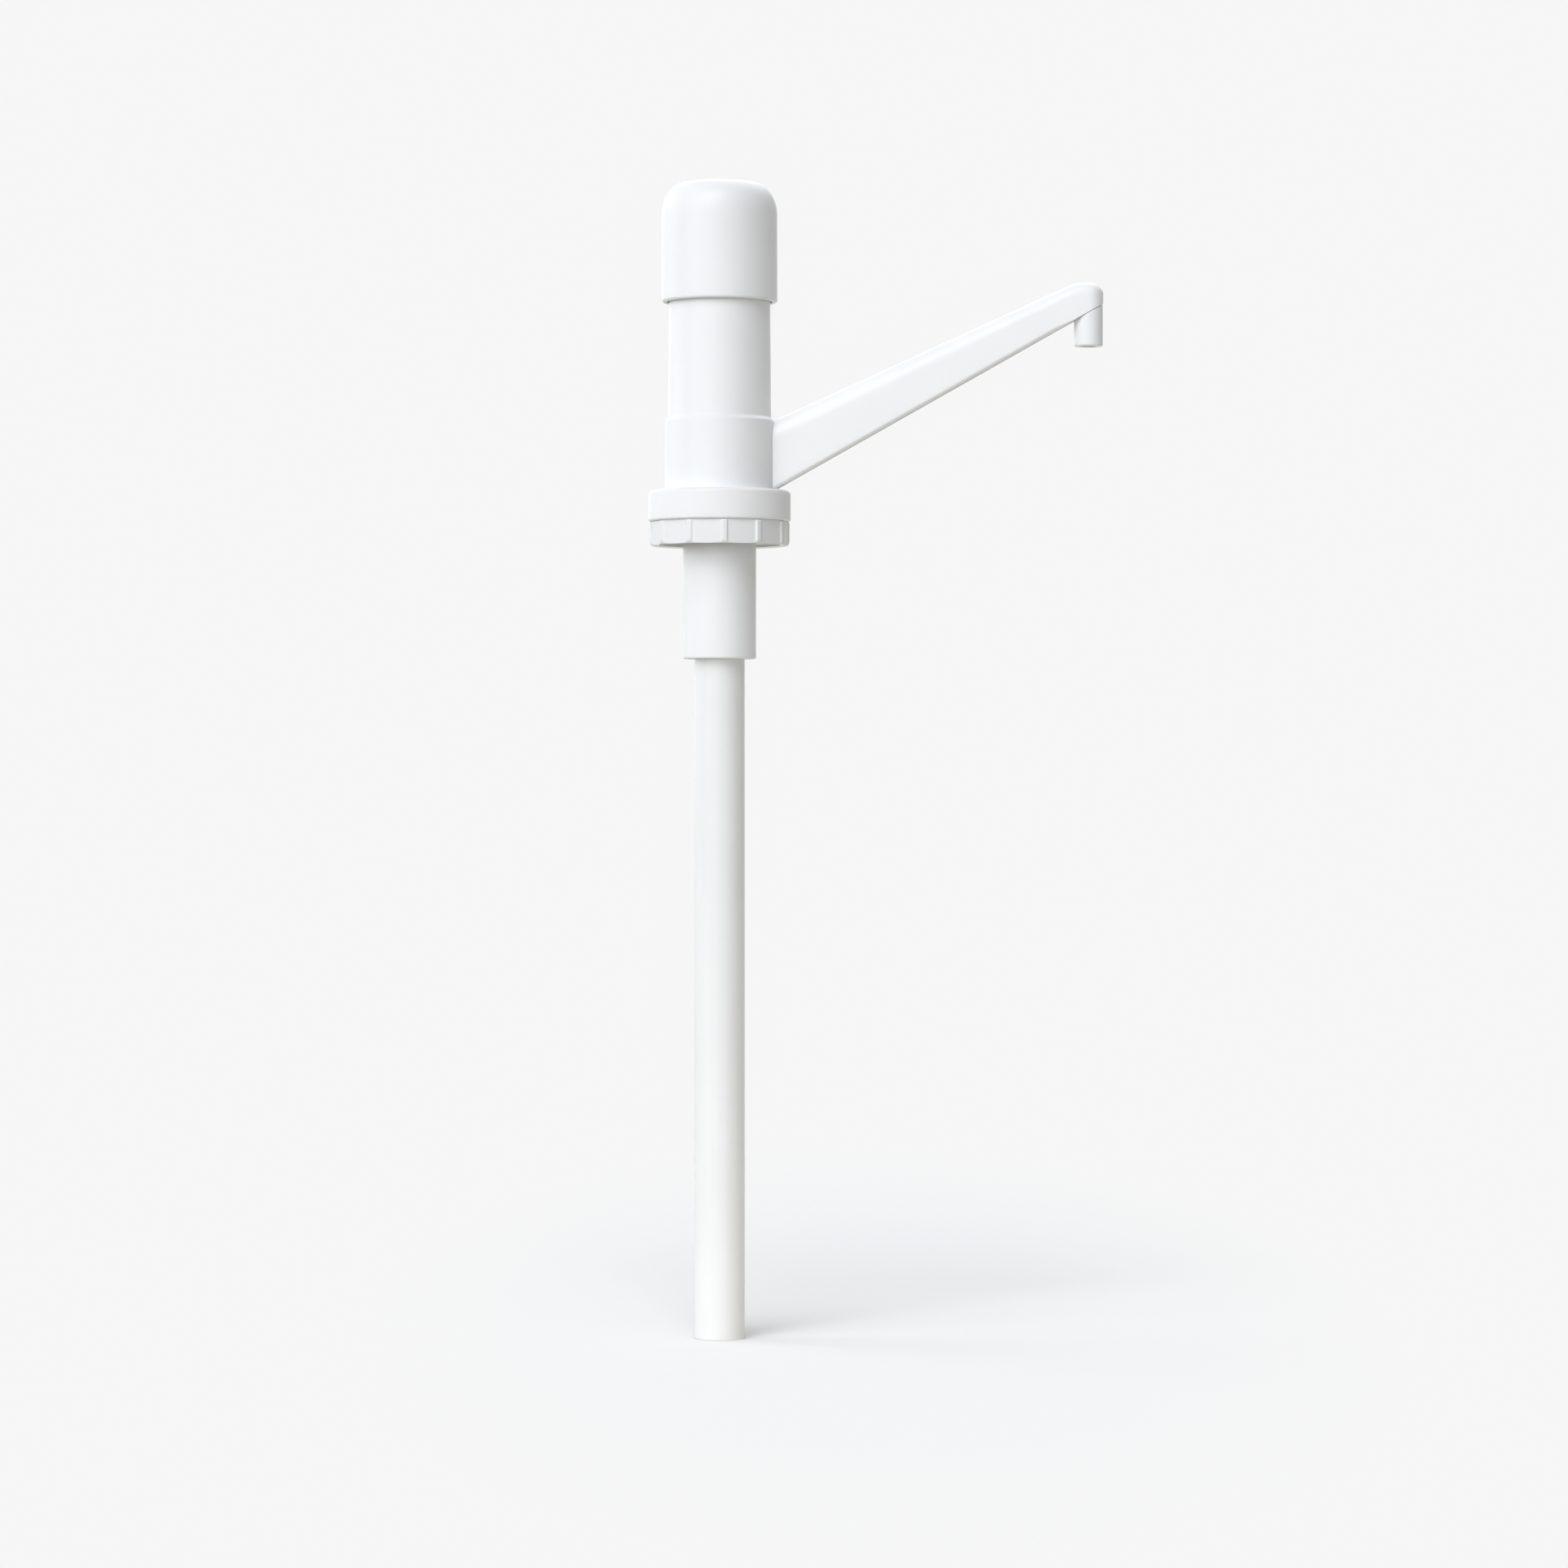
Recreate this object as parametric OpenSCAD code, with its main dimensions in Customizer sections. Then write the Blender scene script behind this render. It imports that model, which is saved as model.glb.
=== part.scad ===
// Canister dosing pump with a fixed spout, in millimetres.
// The origin is on the pump axis at the neck sealing plane, +Z is up and +X points along the spout.

/* [Pump bore and stroke] */
// Bore of the pump cylinder and of the upper barrel
bore_d = 24; // [22:0.5:26]
// Travel of the push cap from rest to full press
stroke = 30; // [24:1:36]
// Wall of the pump cylinder
cylinder_wall = 1.5; // [1.2:0.1:2]
// Wall of the upper barrel
barrel_wall = 1.4; // [1.2:0.1:2]
// Height of the outlet chamber in the housing
chamber_h = 10; // [10:0.5:14]

/* [Push cap] */
// Wall of the push cap
cap_wall = 1.95; // [1.7:0.05:2.6]
// Thickness of the cap's top
cap_top_t = 2.8; // [2.4:0.1:3.6]
// Width of the rounding at the cap's top edge
cap_round_w = 8.6; // [6:0.1:10]
// Height of the rounding at the cap's top edge
cap_round_h = 11.8; // [8:0.1:13]
// Length of sleeve inside the cap at rest
cap_overlap = 5.7; // [3:0.1:12]
// Length of sleeve in view with the cap pressed down
rim_margin = 12.2; // [2:0.1:16]

/* [Guide sleeve and spring] */
// Wall of the guide sleeve
sleeve_wall = 2.7; // [2.4:0.1:3.4]
// Taper of the guide sleeve, on its radius from foot to top
sleeve_draft = 0.4; // [0:0.1:0.6]
// Wall of the sleeve's spigot in the housing
spigot_wall = 1.5; // [1.2:0.1:1.9]
// Wire diameter of the return spring
spring_wire = 1.4; // [1:0.1:1.8]
// Number of coils of the return spring
spring_coils = 14; // [10:1:18]
// Free space on both sides of the spring wire
spring_gap = 0.8; // [0.5:0.1:1.2]

/* [Housing] */
// Height of the round body above the skirt
body_h = 27.4; // [26:0.1:34]
// Step from the sleeve out to the body
shoulder_step = 1.1; // [0.6:0.1:2]
// Height of the shoulder's curved step
shoulder_h = 3.2; // [2:0.1:6]
// Height of the skirt round the nut
skirt_h = 11.4; // [10:0.1:13]
// Wall of the skirt
skirt_wall = 2.1; // [1.8:0.1:3]
// Rounding of the skirt's top edge
skirt_round = 1.5; // [1:0.1:2]

/* [Spout] */
// Distance from the pump axis to the nozzle axis
spout_reach = 136.3; // [90:0.1:180]
// Slope of the arm's underside
spout_deg = 29.5; // [20:0.1:34]
// Height of the arm at its root
arm_root_h = 25.9; // [23:0.1:27]
// Height of the arm at its tip, above its underside on the nozzle axis
arm_tip_h = 11.2; // [10:0.1:14]
// Width of the arm, the diameter of its round tip
arm_w = 11; // [11:0.1:14]
// Height of the arm's rounded top at its root
crown_root = 8; // [5:0.5:10]
// Height of the arm's rounded top at its tip
crown_tip = 4.5; // [3:0.1:6]
// Rounding of the arm's lower edges
arm_edge = 1.6; // [1:0.1:2.5]
// Wall of the arm
arm_wall = 1.4; // [1.2:0.1:1.6]
// Thickness of the plate that closes the arm's underside
plate_t = 1.8; // [1.2:0.1:2.2]
// Length of the nozzle below the arm on its axis
nozzle_drop = 12.5; // [8:0.5:25]
// Outer diameter of the nozzle
nozzle_d = 10.6; // [10:0.1:13]
// Bore of the nozzle
nozzle_bore = 6; // [4:0.1:6.4]

/* [Neck and nut] */
// Diameter over the canister's neck thread, the nut's bore
neck_d = 44.8; // [42:0.1:48]
// Depth of the nut below the sealing plane
nut_drop = 9.5; // [7:0.1:14]
// Wall of the nut inside the skirt
nut_wall = 1.4; // [1.2:0.1:2]
// Thickness of the nut's top ring
nut_top_t = 2.5; // [2:0.1:3]
// Number of flat faces on the nut, with a grip rib at each corner
nut_faces = 12; // [10:1:16]
// Height of the grip ribs over the corners
rib_h = 0.5; // [0.3:0.1:0.8]
// Width of the grip ribs
rib_w = 1.8; // [1:0.1:2.5]
// Thickness of the neck gasket
gasket_t = 2; // [1.5:0.1:3]
// Thickness of the cylinder's clamping flange
flange_t = 2.5; // [2:0.1:3.5]

/* [Suction side] */
// Depth of the dip tube's foot below the sealing plane
dip_depth = 302; // [150:1:420]
// Outer diameter of the dip tube
tube_d = 18.6; // [14:0.1:20]
// Wall of the dip tube
tube_wall = 1.4; // [1:0.1:2]
// Depth of the tube's socket in the cylinder
socket_depth = 8.7; // [8:0.1:20]
// Diameter of the two valve balls
ball_d = 7; // [6:0.1:7.4]
// Lift of the inlet ball
inlet_lift = 2.5; // [1:0.1:4]
// Lift of the outlet ball
outlet_lift = 2; // [1:0.1:2.4]

/* [Hidden] */
$fn = 96;

// Clearances
fit_gap = 0.05;
seal_gap = 0.07;
stem_gap = 0.1;
cap_gap = 0.35;
turn_gap = 0.25;
skirt_gap = 0.4;
seam_gap = 0.3;
stop_gap = 0.6;
seat_gap = 0.05;

// Radii from the bore outwards
bore_r = bore_d / 2;
cyl_r = bore_r + cylinder_wall;
barrel_r = bore_r + barrel_wall;
coil_r = barrel_r + spring_gap + spring_wire / 2;
sleeve_ri = coil_r + spring_wire / 2 + spring_gap;
sleeve_r = sleeve_ri + sleeve_wall;
cap_ri = sleeve_r + cap_gap;
cap_r = cap_ri + cap_wall;
body_r = sleeve_r + shoulder_step;
spigot_r = sleeve_ri + spigot_wall;
body_ri = spigot_r + fit_gap;
ledge_w = 1.95;
chamber_r = body_ri - ledge_w;

// Radii of the neck
neck_r = neck_d / 2;
nut_ri = cyl_r + 1.5;
nut_r = neck_r + nut_wall;
skirt_ri = nut_r + skirt_gap;
skirt_r = skirt_ri + skirt_wall;
grip_r = skirt_r - 0.4;
gasket_r = neck_r - 0.9;
gasket_ri = nut_ri + 0.5;
flange_r = neck_r - 1.4;

// Heights from the sealing plane up
flange_top = gasket_t + flange_t;
nut_under = flange_top + turn_gap;
nut_top = nut_under + nut_top_t;
house_under = nut_top + turn_gap;
skirt_roof = house_under + 1.6;
skirt_top = skirt_roof + 2;
skirt_low = skirt_top - skirt_h;
toe = 0.7;
grip_top = skirt_low - seam_gap;
cyl_top = house_under + 6.5;
ledge_z = cyl_top + chamber_h;
barrel_low = ledge_z + 1;
barrel_seat = barrel_low + 3;
body_top = skirt_top + body_h;
rim_z = body_top + stroke + rim_margin;
cap_ledge = rim_z + cap_overlap + stop_gap + stroke;
corner_h = 5;
cap_roof = cap_ledge + corner_h;
cap_top = cap_roof + cap_top_t;
cap_crown = 0.5;
sleeve_top = rim_z + cap_overlap;

// Plunger
disc_h = 8;
disc_r = bore_r - 0.3;
disc_low = barrel_low + stroke + 3;
disc_top = disc_low + disc_h;
ring_under = disc_top + 0.3;
barrel_top = ring_under + 7.7;
ring_top = barrel_top + 1.5;
stem_r = 6;
rod_r = 5.5;
boss_r = stem_r + 2.5;
boss_low = cap_roof - 13;
groove_r = bore_r - 2.8;
groove_h = 4;
ball_r = ball_d / 2;
ball_way_r = ball_r + 1.1;
seat_r = 0.6 * ball_r;
seat_h = ball_way_r - seat_r;
// A ball on a seat of 45 degrees has its centre this far above the seat's lower edge
ball_rise = ball_r * sqrt(2) - seat_r + seat_gap * sqrt(2);
piston_low = cyl_top - 11;
piston_top = piston_low + disc_h;
piston_seat = piston_low + 2;
outlet_ball_z = piston_seat + ball_rise;
stem_low = outlet_ball_z + ball_r + outlet_lift + 0.3;
neck_top = max(stem_low + 6, piston_top + 11);
window_w = 4.6;

// Suction side
tube_r = tube_d / 2;
cage_top = piston_low - stroke - 4;
// The seat's plate goes below the ball
bulk_t = seat_h + ball_r - ball_rise + 0.3;
cage_roof_t = 1.2;
bulk_top = cage_top - (ball_rise + ball_r + inlet_lift + 0.3 + cage_roof_t) + seat_h;
bulk_low = bulk_top - bulk_t;
inlet_seat = bulk_top - seat_h;
inlet_ball_z = inlet_seat + ball_rise;
cyl_low = bulk_low - socket_depth;

// Spout
port_r = 4.2;
port_wall = 1.3;
port_z = cyl_top + 5.2;
under_z = skirt_top + 0.2;
under_tip_z = under_z + tan(spout_deg) * (spout_reach - body_r);
tip_r = arm_w / 2;
tip_top = under_tip_z + arm_tip_h;
root_sink = 8;
root_x = body_r - root_sink;
root_top = under_z + arm_root_h;
// The arm's top runs level over its tip from here on
knee_x = spout_reach - 0.8 * tip_r;
top_rise = (tip_top - root_top) / (knee_x - body_r);
far = 3 * spout_reach;
saddle_r = body_r + 2.2;
plug_r = tip_r - arm_wall - fit_gap;
nozzle_low = under_tip_z - nozzle_drop;
plate_sink = 0.3;

// Points of an elliptic arc from angle a0 to a1
function arc(c, rx, ry, a0, a1, n = 10) =
    [for (i = [0 : n]) let (a = a0 + (a1 - a0) * i / n) [c.x + rx * cos(a), c.y + ry * sin(a)]];

// Profile of the shoulder from the sleeve's foot down to the body, moved outwards by a gap
function shoulder(gap = 0) =
    [for (i = [0 : 12]) let (s = i / 12)
     [sleeve_r + shoulder_step * (1 - cos(180 * s)) / 2 + gap, body_top - shoulder_h * s]];

// A ring round the pump axis
module ring(r0, r1, z0, z1)
{
    rotate_extrude()
        translate([r0, z0])
            square([r1 - r0, z1 - z0]);
}

// A round rod along the pump axis
module rod(r, z0, z1)
{
    translate([0, 0, z0])
        cylinder(r = r, h = z1 - z0);
}

// A slab of thickness t along the arm's underside, from height z over it
module arm_slab(z, t)
{
    translate([body_r, 0, under_z])
        rotate([0, -spout_deg, 0])
            translate([-far / 2, -far / 2, z])
                cube([2 * far, far, t]);
}

// A long bar over the arm's underside, as wide as the arm and round at its lower edges
module arm_bar()
{
    translate([body_r, 0, under_z])
        rotate([0, -spout_deg, 0])
            translate([-far / 2, 0, 0])
                rotate([90, 0, 90])
                    linear_extrude(2 * far)
                    {
                        translate([-tip_r, arm_edge])
                            square([arm_w, far]);
                        translate([arm_edge - tip_r, 0])
                            square([arm_w - 2 * arm_edge, far]);
                        for (s = [-1, 1])
                            translate([s * (tip_r - arm_edge), arm_edge])
                                circle(r = arm_edge);
                    }
}

// The cap: rim, side, rounded top edge and crown over a socket for the stem
module push_cap()
{
    rib_r = barrel_r - 0.4;
    color("white")
    {
        rotate_extrude()
            polygon(concat(
                [[cap_ri, rim_z], [cap_r - 0.4, rim_z], [cap_r, rim_z + 0.4]],
                arc([cap_r - cap_round_w, cap_top - cap_round_h], cap_round_w, cap_round_h, 0, 90),
                [[0, cap_top + cap_crown], [0, cap_roof], [sleeve_ri, cap_roof], [cap_ri, cap_ledge]]));
        ring(stem_r + fit_gap, boss_r, boss_low, cap_roof + 0.5);
        for (a = [45 : 90 : 315])
            rotate([0, 0, a])
                translate([boss_r - 0.2, -0.7, boss_low + 4])
                    cube([rib_r - boss_r + 0.2, 1.4, cap_roof + 0.5 - boss_low - 4]);
    }
}

// The fixed tube that the cap runs on, with its spigot in the housing
module guide_sleeve()
{
    color("white")
        rotate_extrude()
            polygon([[sleeve_ri, barrel_seat], [spigot_r, barrel_seat], [spigot_r, body_top],
                     [sleeve_r, body_top], [sleeve_r - sleeve_draft, sleeve_top - 0.6],
                     [sleeve_r - sleeve_draft - 0.6, sleeve_top], [sleeve_ri, sleeve_top]]);
}

// The housing: skirt, body with shoulder, cylinder socket, chamber and outlet port
module spout_housing()
{
    lip = 0.4;
    color("white")
        difference()
        {
            rotate_extrude()
                polygon(concat(
                    [[cyl_r + fit_gap, house_under], [cyl_r + fit_gap, cyl_top], [chamber_r, cyl_top],
                     [chamber_r, ledge_z], [body_ri, ledge_z], [body_ri, body_top]],
                    shoulder(),
                    arc([body_r + toe, skirt_top + toe], toe, toe, 180, 270, 4),
                    arc([skirt_r - skirt_round, skirt_top - skirt_round], skirt_round, skirt_round, 90, 0),
                    [[skirt_r, skirt_low + lip], [skirt_r - lip, skirt_low], [skirt_ri, skirt_low],
                     [skirt_ri, skirt_roof], [body_r, skirt_roof], [body_r, house_under]]));
            ring(cyl_r, cyl_r + 1.5, house_under + 2.2, house_under + 4.2);
            translate([0, 0, port_z])
                rotate([0, 90, 0])
                {
                    cylinder(r = port_r, h = body_r + 5);
                    translate([0, 0, body_r - 1.7])
                        cylinder(r = port_r + 1.1, h = 6);
                }
        }
}

// Upright end form of the arm at a radius, with a domed top
module arm_post(r, top, dome)
{
    translate([spout_reach, 0, 0])
        rotate_extrude($fn = 32)
            polygon(concat([[0, nozzle_low], [r, nozzle_low]],
                           arc([0, top - dome], r, dome, 0, 90, 6)));
}

// Thin upright section of the arm at x, with a half-ellipse as its top
module arm_section(x, half_w, top, crown)
{
    translate([x, 0, 0])
        rotate([90, 0, 90])
            linear_extrude(0.1)
                polygon(concat([[-half_w, 0], [half_w, 0]],
                               arc([0, top - crown], half_w, crown, 0, 180, 16)));
}

// The arm: a loft from the root section over the knee to the round tip, less w of wall
module arm_form(w)
{
    hull()
    {
        arm_section(root_x, tip_r - w, root_top - root_sink * top_rise - w, crown_root - w);
        arm_section(knee_x, tip_r - w, tip_top - w, crown_tip - w);
        arm_post(tip_r - w, tip_top - w, crown_tip - w);
    }
}

// The arm: a tapered channel, open below, with a saddle and a spigot on the housing
module spout_arm()
{
    color("white")
        difference()
        {
            union()
            {
                difference()
                {
                    intersection()
                    {
                        arm_form(0);
                        arm_bar();
                    }
                    rod(skirt_r + 5, skirt_top - 50, skirt_top + fit_gap);
                    rod(body_r + toe + fit_gap, skirt_top - 1, skirt_top + toe + fit_gap);
                    rotate_extrude()
                        polygon(concat(
                            [[0, 0], [0, cap_top], [sleeve_r + fit_gap, cap_top]], shoulder(fit_gap),
                            [[body_r + fit_gap, 0]]));
                    difference()
                    {
                        arm_form(arm_wall);
                        rod(saddle_r, 0, cap_top);
                    }
                }
                translate([chamber_r - 0.5, 0, port_z])
                    rotate([0, 90, 0])
                        cylinder(r = port_r - fit_gap, h = body_r + 1 - chamber_r + 0.5);
            }
            translate([0, 0, port_z])
                rotate([0, 90, 0])
                    cylinder(r = port_r - port_wall, h = saddle_r + 2);
        }
}

// The strip that closes the channel from below, up to the nozzle's plug
module spout_plate()
{
    half_w = tip_r - arm_wall - 0.1;
    color("white")
        difference()
        {
            intersection()
            {
                translate([root_x, -half_w, 0])
                    cube([spout_reach - root_x, 2 * half_w, cap_top]);
                arm_slab(plate_sink, plate_t);
            }
            rod(saddle_r + fit_gap, 0, cap_top);
            translate([spout_reach, 0, nozzle_low])
                cylinder(r = plug_r + fit_gap, h = nozzle_drop + arm_tip_h);
        }
}

// The nozzle, plugged into the arm's tip from below
module nozzle()
{
    color("white")
        difference()
        {
            union()
            {
                difference()
                {
                    translate([spout_reach, 0, nozzle_low])
                        rotate_extrude()
                            polygon([[0, 0], [nozzle_d / 2 - 0.4, 0], [nozzle_d / 2, 0.4],
                                     [nozzle_d / 2, nozzle_drop + 8], [0, nozzle_drop + 8]]);
                    arm_slab(-fit_gap, far);
                }
                translate([spout_reach, 0, nozzle_low + 1])
                    cylinder(r = plug_r, h = nozzle_drop + 3);
            }
            translate([spout_reach, 0, nozzle_low - 1])
                cylinder(r = nozzle_bore / 2, h = nozzle_drop + 10);
        }
}

// Seal round the arm's spigot, in the port's counterbore
module spout_o_ring()
{
    color("dimgray")
        translate([body_r - 1.15, 0, port_z])
            rotate([0, 90, 0])
                rotate_extrude()
                    translate([port_r + 0.54, 0])
                        circle(r = 0.48, $fn = 48);
}

// The nut: faces and ribs below the skirt, a thinner wall and a captive ring inside it
module union_nut()
{
    corners = [for (i = [0 : nut_faces - 1]) i * 360 / nut_faces - 85.1];
    edge = 1;
    color("white")
        difference()
        {
            union()
            {
                intersection()
                {
                    rotate_extrude()
                        polygon(concat(
                            [[0, -nut_drop], [grip_r - edge, -nut_drop]],
                            arc([grip_r - edge, edge - nut_drop], edge, edge, 270, 360, 5),
                            [[grip_r, grip_top - 0.5], [grip_r - 0.5, grip_top], [0, grip_top]]));
                    translate([0, 0, -nut_drop - 1])
                        linear_extrude(nut_drop + grip_top + 2)
                        {
                            polygon([for (a = corners) (grip_r - rib_h) * [cos(a), sin(a)]]);
                            for (a = corners)
                                rotate(a)
                                    translate([neck_r, -rib_w / 2])
                                        square([grip_r + 1 - neck_r, rib_w]);
                        }
                }
                rod(nut_r, grip_top - 1, nut_top);
            }
            rod(neck_r, -nut_drop - 1, nut_under);
            rod(nut_ri, nut_under - 1, nut_top + 1);
        }
}

// Seal between the cylinder's flange and the canister's neck
module neck_gasket()
{
    color("dimgray")
        ring(gasket_ri, gasket_r, 0, gasket_t);
}

// The cylinder: bore, inlet seat and tube socket
module pump_cylinder()
{
    color("white")
        difference()
        {
            rotate_extrude()
                polygon([[0, cyl_low], [cyl_r - 0.5, cyl_low], [cyl_r, cyl_low + 0.5],
                         [cyl_r, cyl_top], [0, cyl_top]]);
            rod(bore_r, bulk_top, cyl_top + 1);
            rod(seat_r, bulk_low - 1, bulk_top);
            translate([0, 0, inlet_seat])
                cylinder(r1 = seat_r, r2 = ball_way_r, h = seat_h);
            rod(tube_r + fit_gap, cyl_low - 1, bulk_low);
            if (cyl_r - 1.4 - tube_r - 1.4 > 0.8)
                ring(tube_r + 1.4, cyl_r - 1.4, cyl_low - 1, bulk_low - 2);
        }
}

// The flange ring on the cylinder, which the nut pulls down on the gasket, with an air vent
module cylinder_flange()
{
    color("white")
        difference()
        {
            ring(cyl_r + fit_gap, flange_r, gasket_t, flange_top);
            translate([-cyl_r - 1.1, 0, gasket_t - 1])
                cylinder(r = 0.5, h = flange_t + 2, $fn = 24);
        }
}

// Seal between the cylinder and the housing's socket
module cylinder_o_ring()
{
    color("dimgray")
        translate([0, 0, house_under + 3.2])
            rotate_extrude()
                translate([cyl_r + 0.77, 0])
                    circle(r = 0.72, $fn = 48);
}

// The suction tube
module dip_tube()
{
    color("ghostwhite")
        rotate_extrude()
            polygon([[tube_r - tube_wall, -dip_depth], [tube_r - 0.3, -dip_depth],
                     [tube_r, 0.3 - dip_depth], [tube_r, bulk_low], [tube_r - tube_wall, bulk_low]]);
}

// The cage over the inlet ball: a ring in the bore, four fins and a roof
module ball_cage()
{
    color("white")
    {
        ring(ball_way_r + 0.4, bore_r - fit_gap, bulk_top, bulk_top + 1.4);
        ring(1.5, ball_way_r + 2, cage_top - cage_roof_t, cage_top);
        for (a = [0 : 90 : 270])
            rotate([0, 0, a])
                translate([ball_r + 0.5, -0.8, bulk_top + 0.2])
                    cube([3.2, 1.6, cage_top - bulk_top - 0.7]);
    }
}

// The suction valve's ball on its seat
module inlet_ball()
{
    color("silver")
        translate([0, 0, inlet_ball_z])
            sphere(r = ball_r);
}

// The stem: plug in the piston head, rod, upper disc with seal groove, and rod up to the cap
module plunger_stem()
{
    color("white")
        rotate_extrude()
            polygon([[0, stem_low], [ball_way_r - fit_gap, stem_low], [ball_way_r - fit_gap, neck_top],
                     [rod_r, neck_top], [rod_r, disc_low], [disc_r, disc_low],
                     [disc_r, disc_low + 2], [groove_r, disc_low + 2],
                     [groove_r, disc_low + 2 + groove_h], [disc_r, disc_low + 2 + groove_h],
                     [disc_r, disc_top], [stem_r, disc_top], [stem_r, cap_roof], [0, cap_roof]]);
}

// The lower piston: seat, ball way with four windows, and groove for the cup seal
module piston_head()
{
    color("white")
        difference()
        {
            rotate_extrude()
                polygon([[seat_r, piston_low], [disc_r, piston_low], [disc_r, piston_low + 2],
                         [groove_r, piston_low + 2], [groove_r, piston_low + 2 + groove_h],
                         [disc_r, piston_low + 2 + groove_h], [disc_r, piston_top],
                         [ball_way_r + 2.4, piston_top], [ball_way_r + 2.4, neck_top],
                         [ball_way_r, neck_top], [ball_way_r, piston_seat + seat_h],
                         [seat_r, piston_seat]]);
            for (a = [45 : 90 : 315])
                rotate([0, 0, a])
                    translate([0, -window_w / 2, piston_top + 0.2])
                        cube([ball_way_r + 5, window_w, stem_low - piston_top + 0.8]);
        }
}

// A cup seal with two lips, standing in a groove at height z
module cup_seal(z)
{
    r0 = groove_r + fit_gap;
    r1 = bore_r - seal_gap;
    low = z + 2 + fit_gap;
    high = z + 2 + groove_h - fit_gap;
    color("dimgray")
        rotate_extrude()
            polygon([[r0, high], [r0, low], [r0 + 0.7, low], [r0 + 1.1, low + 1.6], [r1 - 1, low + 1.6],
                     [r1 - 0.5, low], [r1, low + 0.4], [r1, low + 1.6], [r1 - 0.4, high]]);
}

// Cup seal of the lower piston
module piston_seal()
{
    cup_seal(piston_low);
}

// Cup seal of the upper disc
module upper_seal()
{
    cup_seal(disc_low);
}

// The outlet valve's ball on its seat in the piston
module discharge_ball()
{
    color("silver")
        translate([0, 0, outlet_ball_z])
            sphere(r = ball_r);
}

// Height of the spring wire's centre after u coils, with a closed coil at each end
spring_low = barrel_seat + spring_wire / 2;
spring_len = cap_roof - barrel_seat - spring_wire;
end_pitch = spring_wire + 0.6;
open_pitch = (spring_len - 2 * end_pitch) / (spring_coils - 2);
function spring_z(u) =
    u < 1 ? end_pitch * u
    : u > spring_coils - 1 ? spring_len - end_pitch * (spring_coils - u)
    : end_pitch + (u - 1) * open_pitch;
echo(spring_least_gap = min(end_pitch, open_pitch) - spring_wire);

// The return spring: one round wire swept along its coils
module return_spring()
{
    rings = 16;
    sides = 6;
    last = rings * spring_coils;
    points = [for (i = [0 : last]) for (k = [0 : sides - 1])
              let (t = 360 * i / rings, a = 360 * k / sides, r = coil_r + spring_wire / 2 * cos(a))
              [r * cos(t), r * sin(t), spring_low + spring_z(i / rings) + spring_wire / 2 * sin(a)]];
    walls = [for (i = [0 : last - 1]) for (k = [0 : sides - 1])
             let (n = (k + 1) % sides, p = i * sides, q = p + sides)
             each [[p + k, q + k, q + n], [p + k, q + n, p + n]]];
    ends = [for (k = [1 : sides - 2]) each [[0, k, k + 1],
            [last * sides, last * sides + k + 1, last * sides + k]]];
    color("gray")
        polyhedron(points, concat(walls, ends));
}

// The bore of the upper disc, with the flange that carries the spring
module upper_barrel()
{
    color("white")
        rotate_extrude()
            polygon([[bore_r, barrel_low], [spigot_r, barrel_low], [spigot_r, barrel_seat],
                     [barrel_r, barrel_seat], [barrel_r, barrel_top], [bore_r, barrel_top]]);
}

// The stem's guide in the barrel's top, with two vents
module barrel_ring()
{
    color("white")
        difference()
        {
            rotate_extrude()
                polygon([[stem_r + stem_gap, ring_under], [bore_r - fit_gap, ring_under],
                         [bore_r - fit_gap, barrel_top], [barrel_r, barrel_top], [barrel_r, ring_top],
                         [stem_r + stem_gap, ring_top]]);
            for (s = [-1, 1])
                translate([s * (stem_r + 3), 0, ring_under - 1])
                    cylinder(r = 0.8, h = ring_top - ring_under + 2, $fn = 24);
        }
}

// Seal between the barrel's flange and the housing's ledge
module barrel_gasket()
{
    color("dimgray")
        ring(chamber_r, spigot_r, ledge_z, barrel_low);
}

push_cap();
guide_sleeve();
spout_housing();
spout_arm();
spout_plate();
nozzle();
spout_o_ring();
union_nut();
neck_gasket();
pump_cylinder();
cylinder_flange();
cylinder_o_ring();
dip_tube();
ball_cage();
inlet_ball();
plunger_stem();
piston_head();
piston_seal();
upper_seal();
discharge_ball();
return_spring();
upper_barrel();
barrel_ring();
barrel_gasket();
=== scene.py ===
"""Looks of a canister dosing pump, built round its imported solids.

Sizes are in millimetres and become metres when a mesh is made. +Z is up the pump axis, +X runs
along the spout, and z = 0 is the plane where the pump seals on the canister's neck.
"""
import logging
import math
from dataclasses import dataclass, field
from enum import Enum
from typing import Any, Optional, Protocol, Union

import bmesh
import bpy
import numpy as np
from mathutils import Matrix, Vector


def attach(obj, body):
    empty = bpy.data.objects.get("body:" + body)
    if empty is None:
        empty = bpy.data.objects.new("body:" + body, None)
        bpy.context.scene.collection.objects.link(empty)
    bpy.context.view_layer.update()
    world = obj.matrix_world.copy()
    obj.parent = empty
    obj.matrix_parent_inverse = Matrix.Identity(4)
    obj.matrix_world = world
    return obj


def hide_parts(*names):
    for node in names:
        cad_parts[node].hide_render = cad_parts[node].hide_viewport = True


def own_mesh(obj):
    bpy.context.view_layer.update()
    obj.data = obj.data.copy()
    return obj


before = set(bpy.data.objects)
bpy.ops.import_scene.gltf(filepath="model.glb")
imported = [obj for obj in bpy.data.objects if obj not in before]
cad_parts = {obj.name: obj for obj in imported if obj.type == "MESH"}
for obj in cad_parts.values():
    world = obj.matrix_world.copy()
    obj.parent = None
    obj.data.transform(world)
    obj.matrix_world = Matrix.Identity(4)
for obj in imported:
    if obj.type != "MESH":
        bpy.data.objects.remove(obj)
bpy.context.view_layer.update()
LOG = logging.getLogger("dosing_pump")
MM = 0.001
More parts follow.
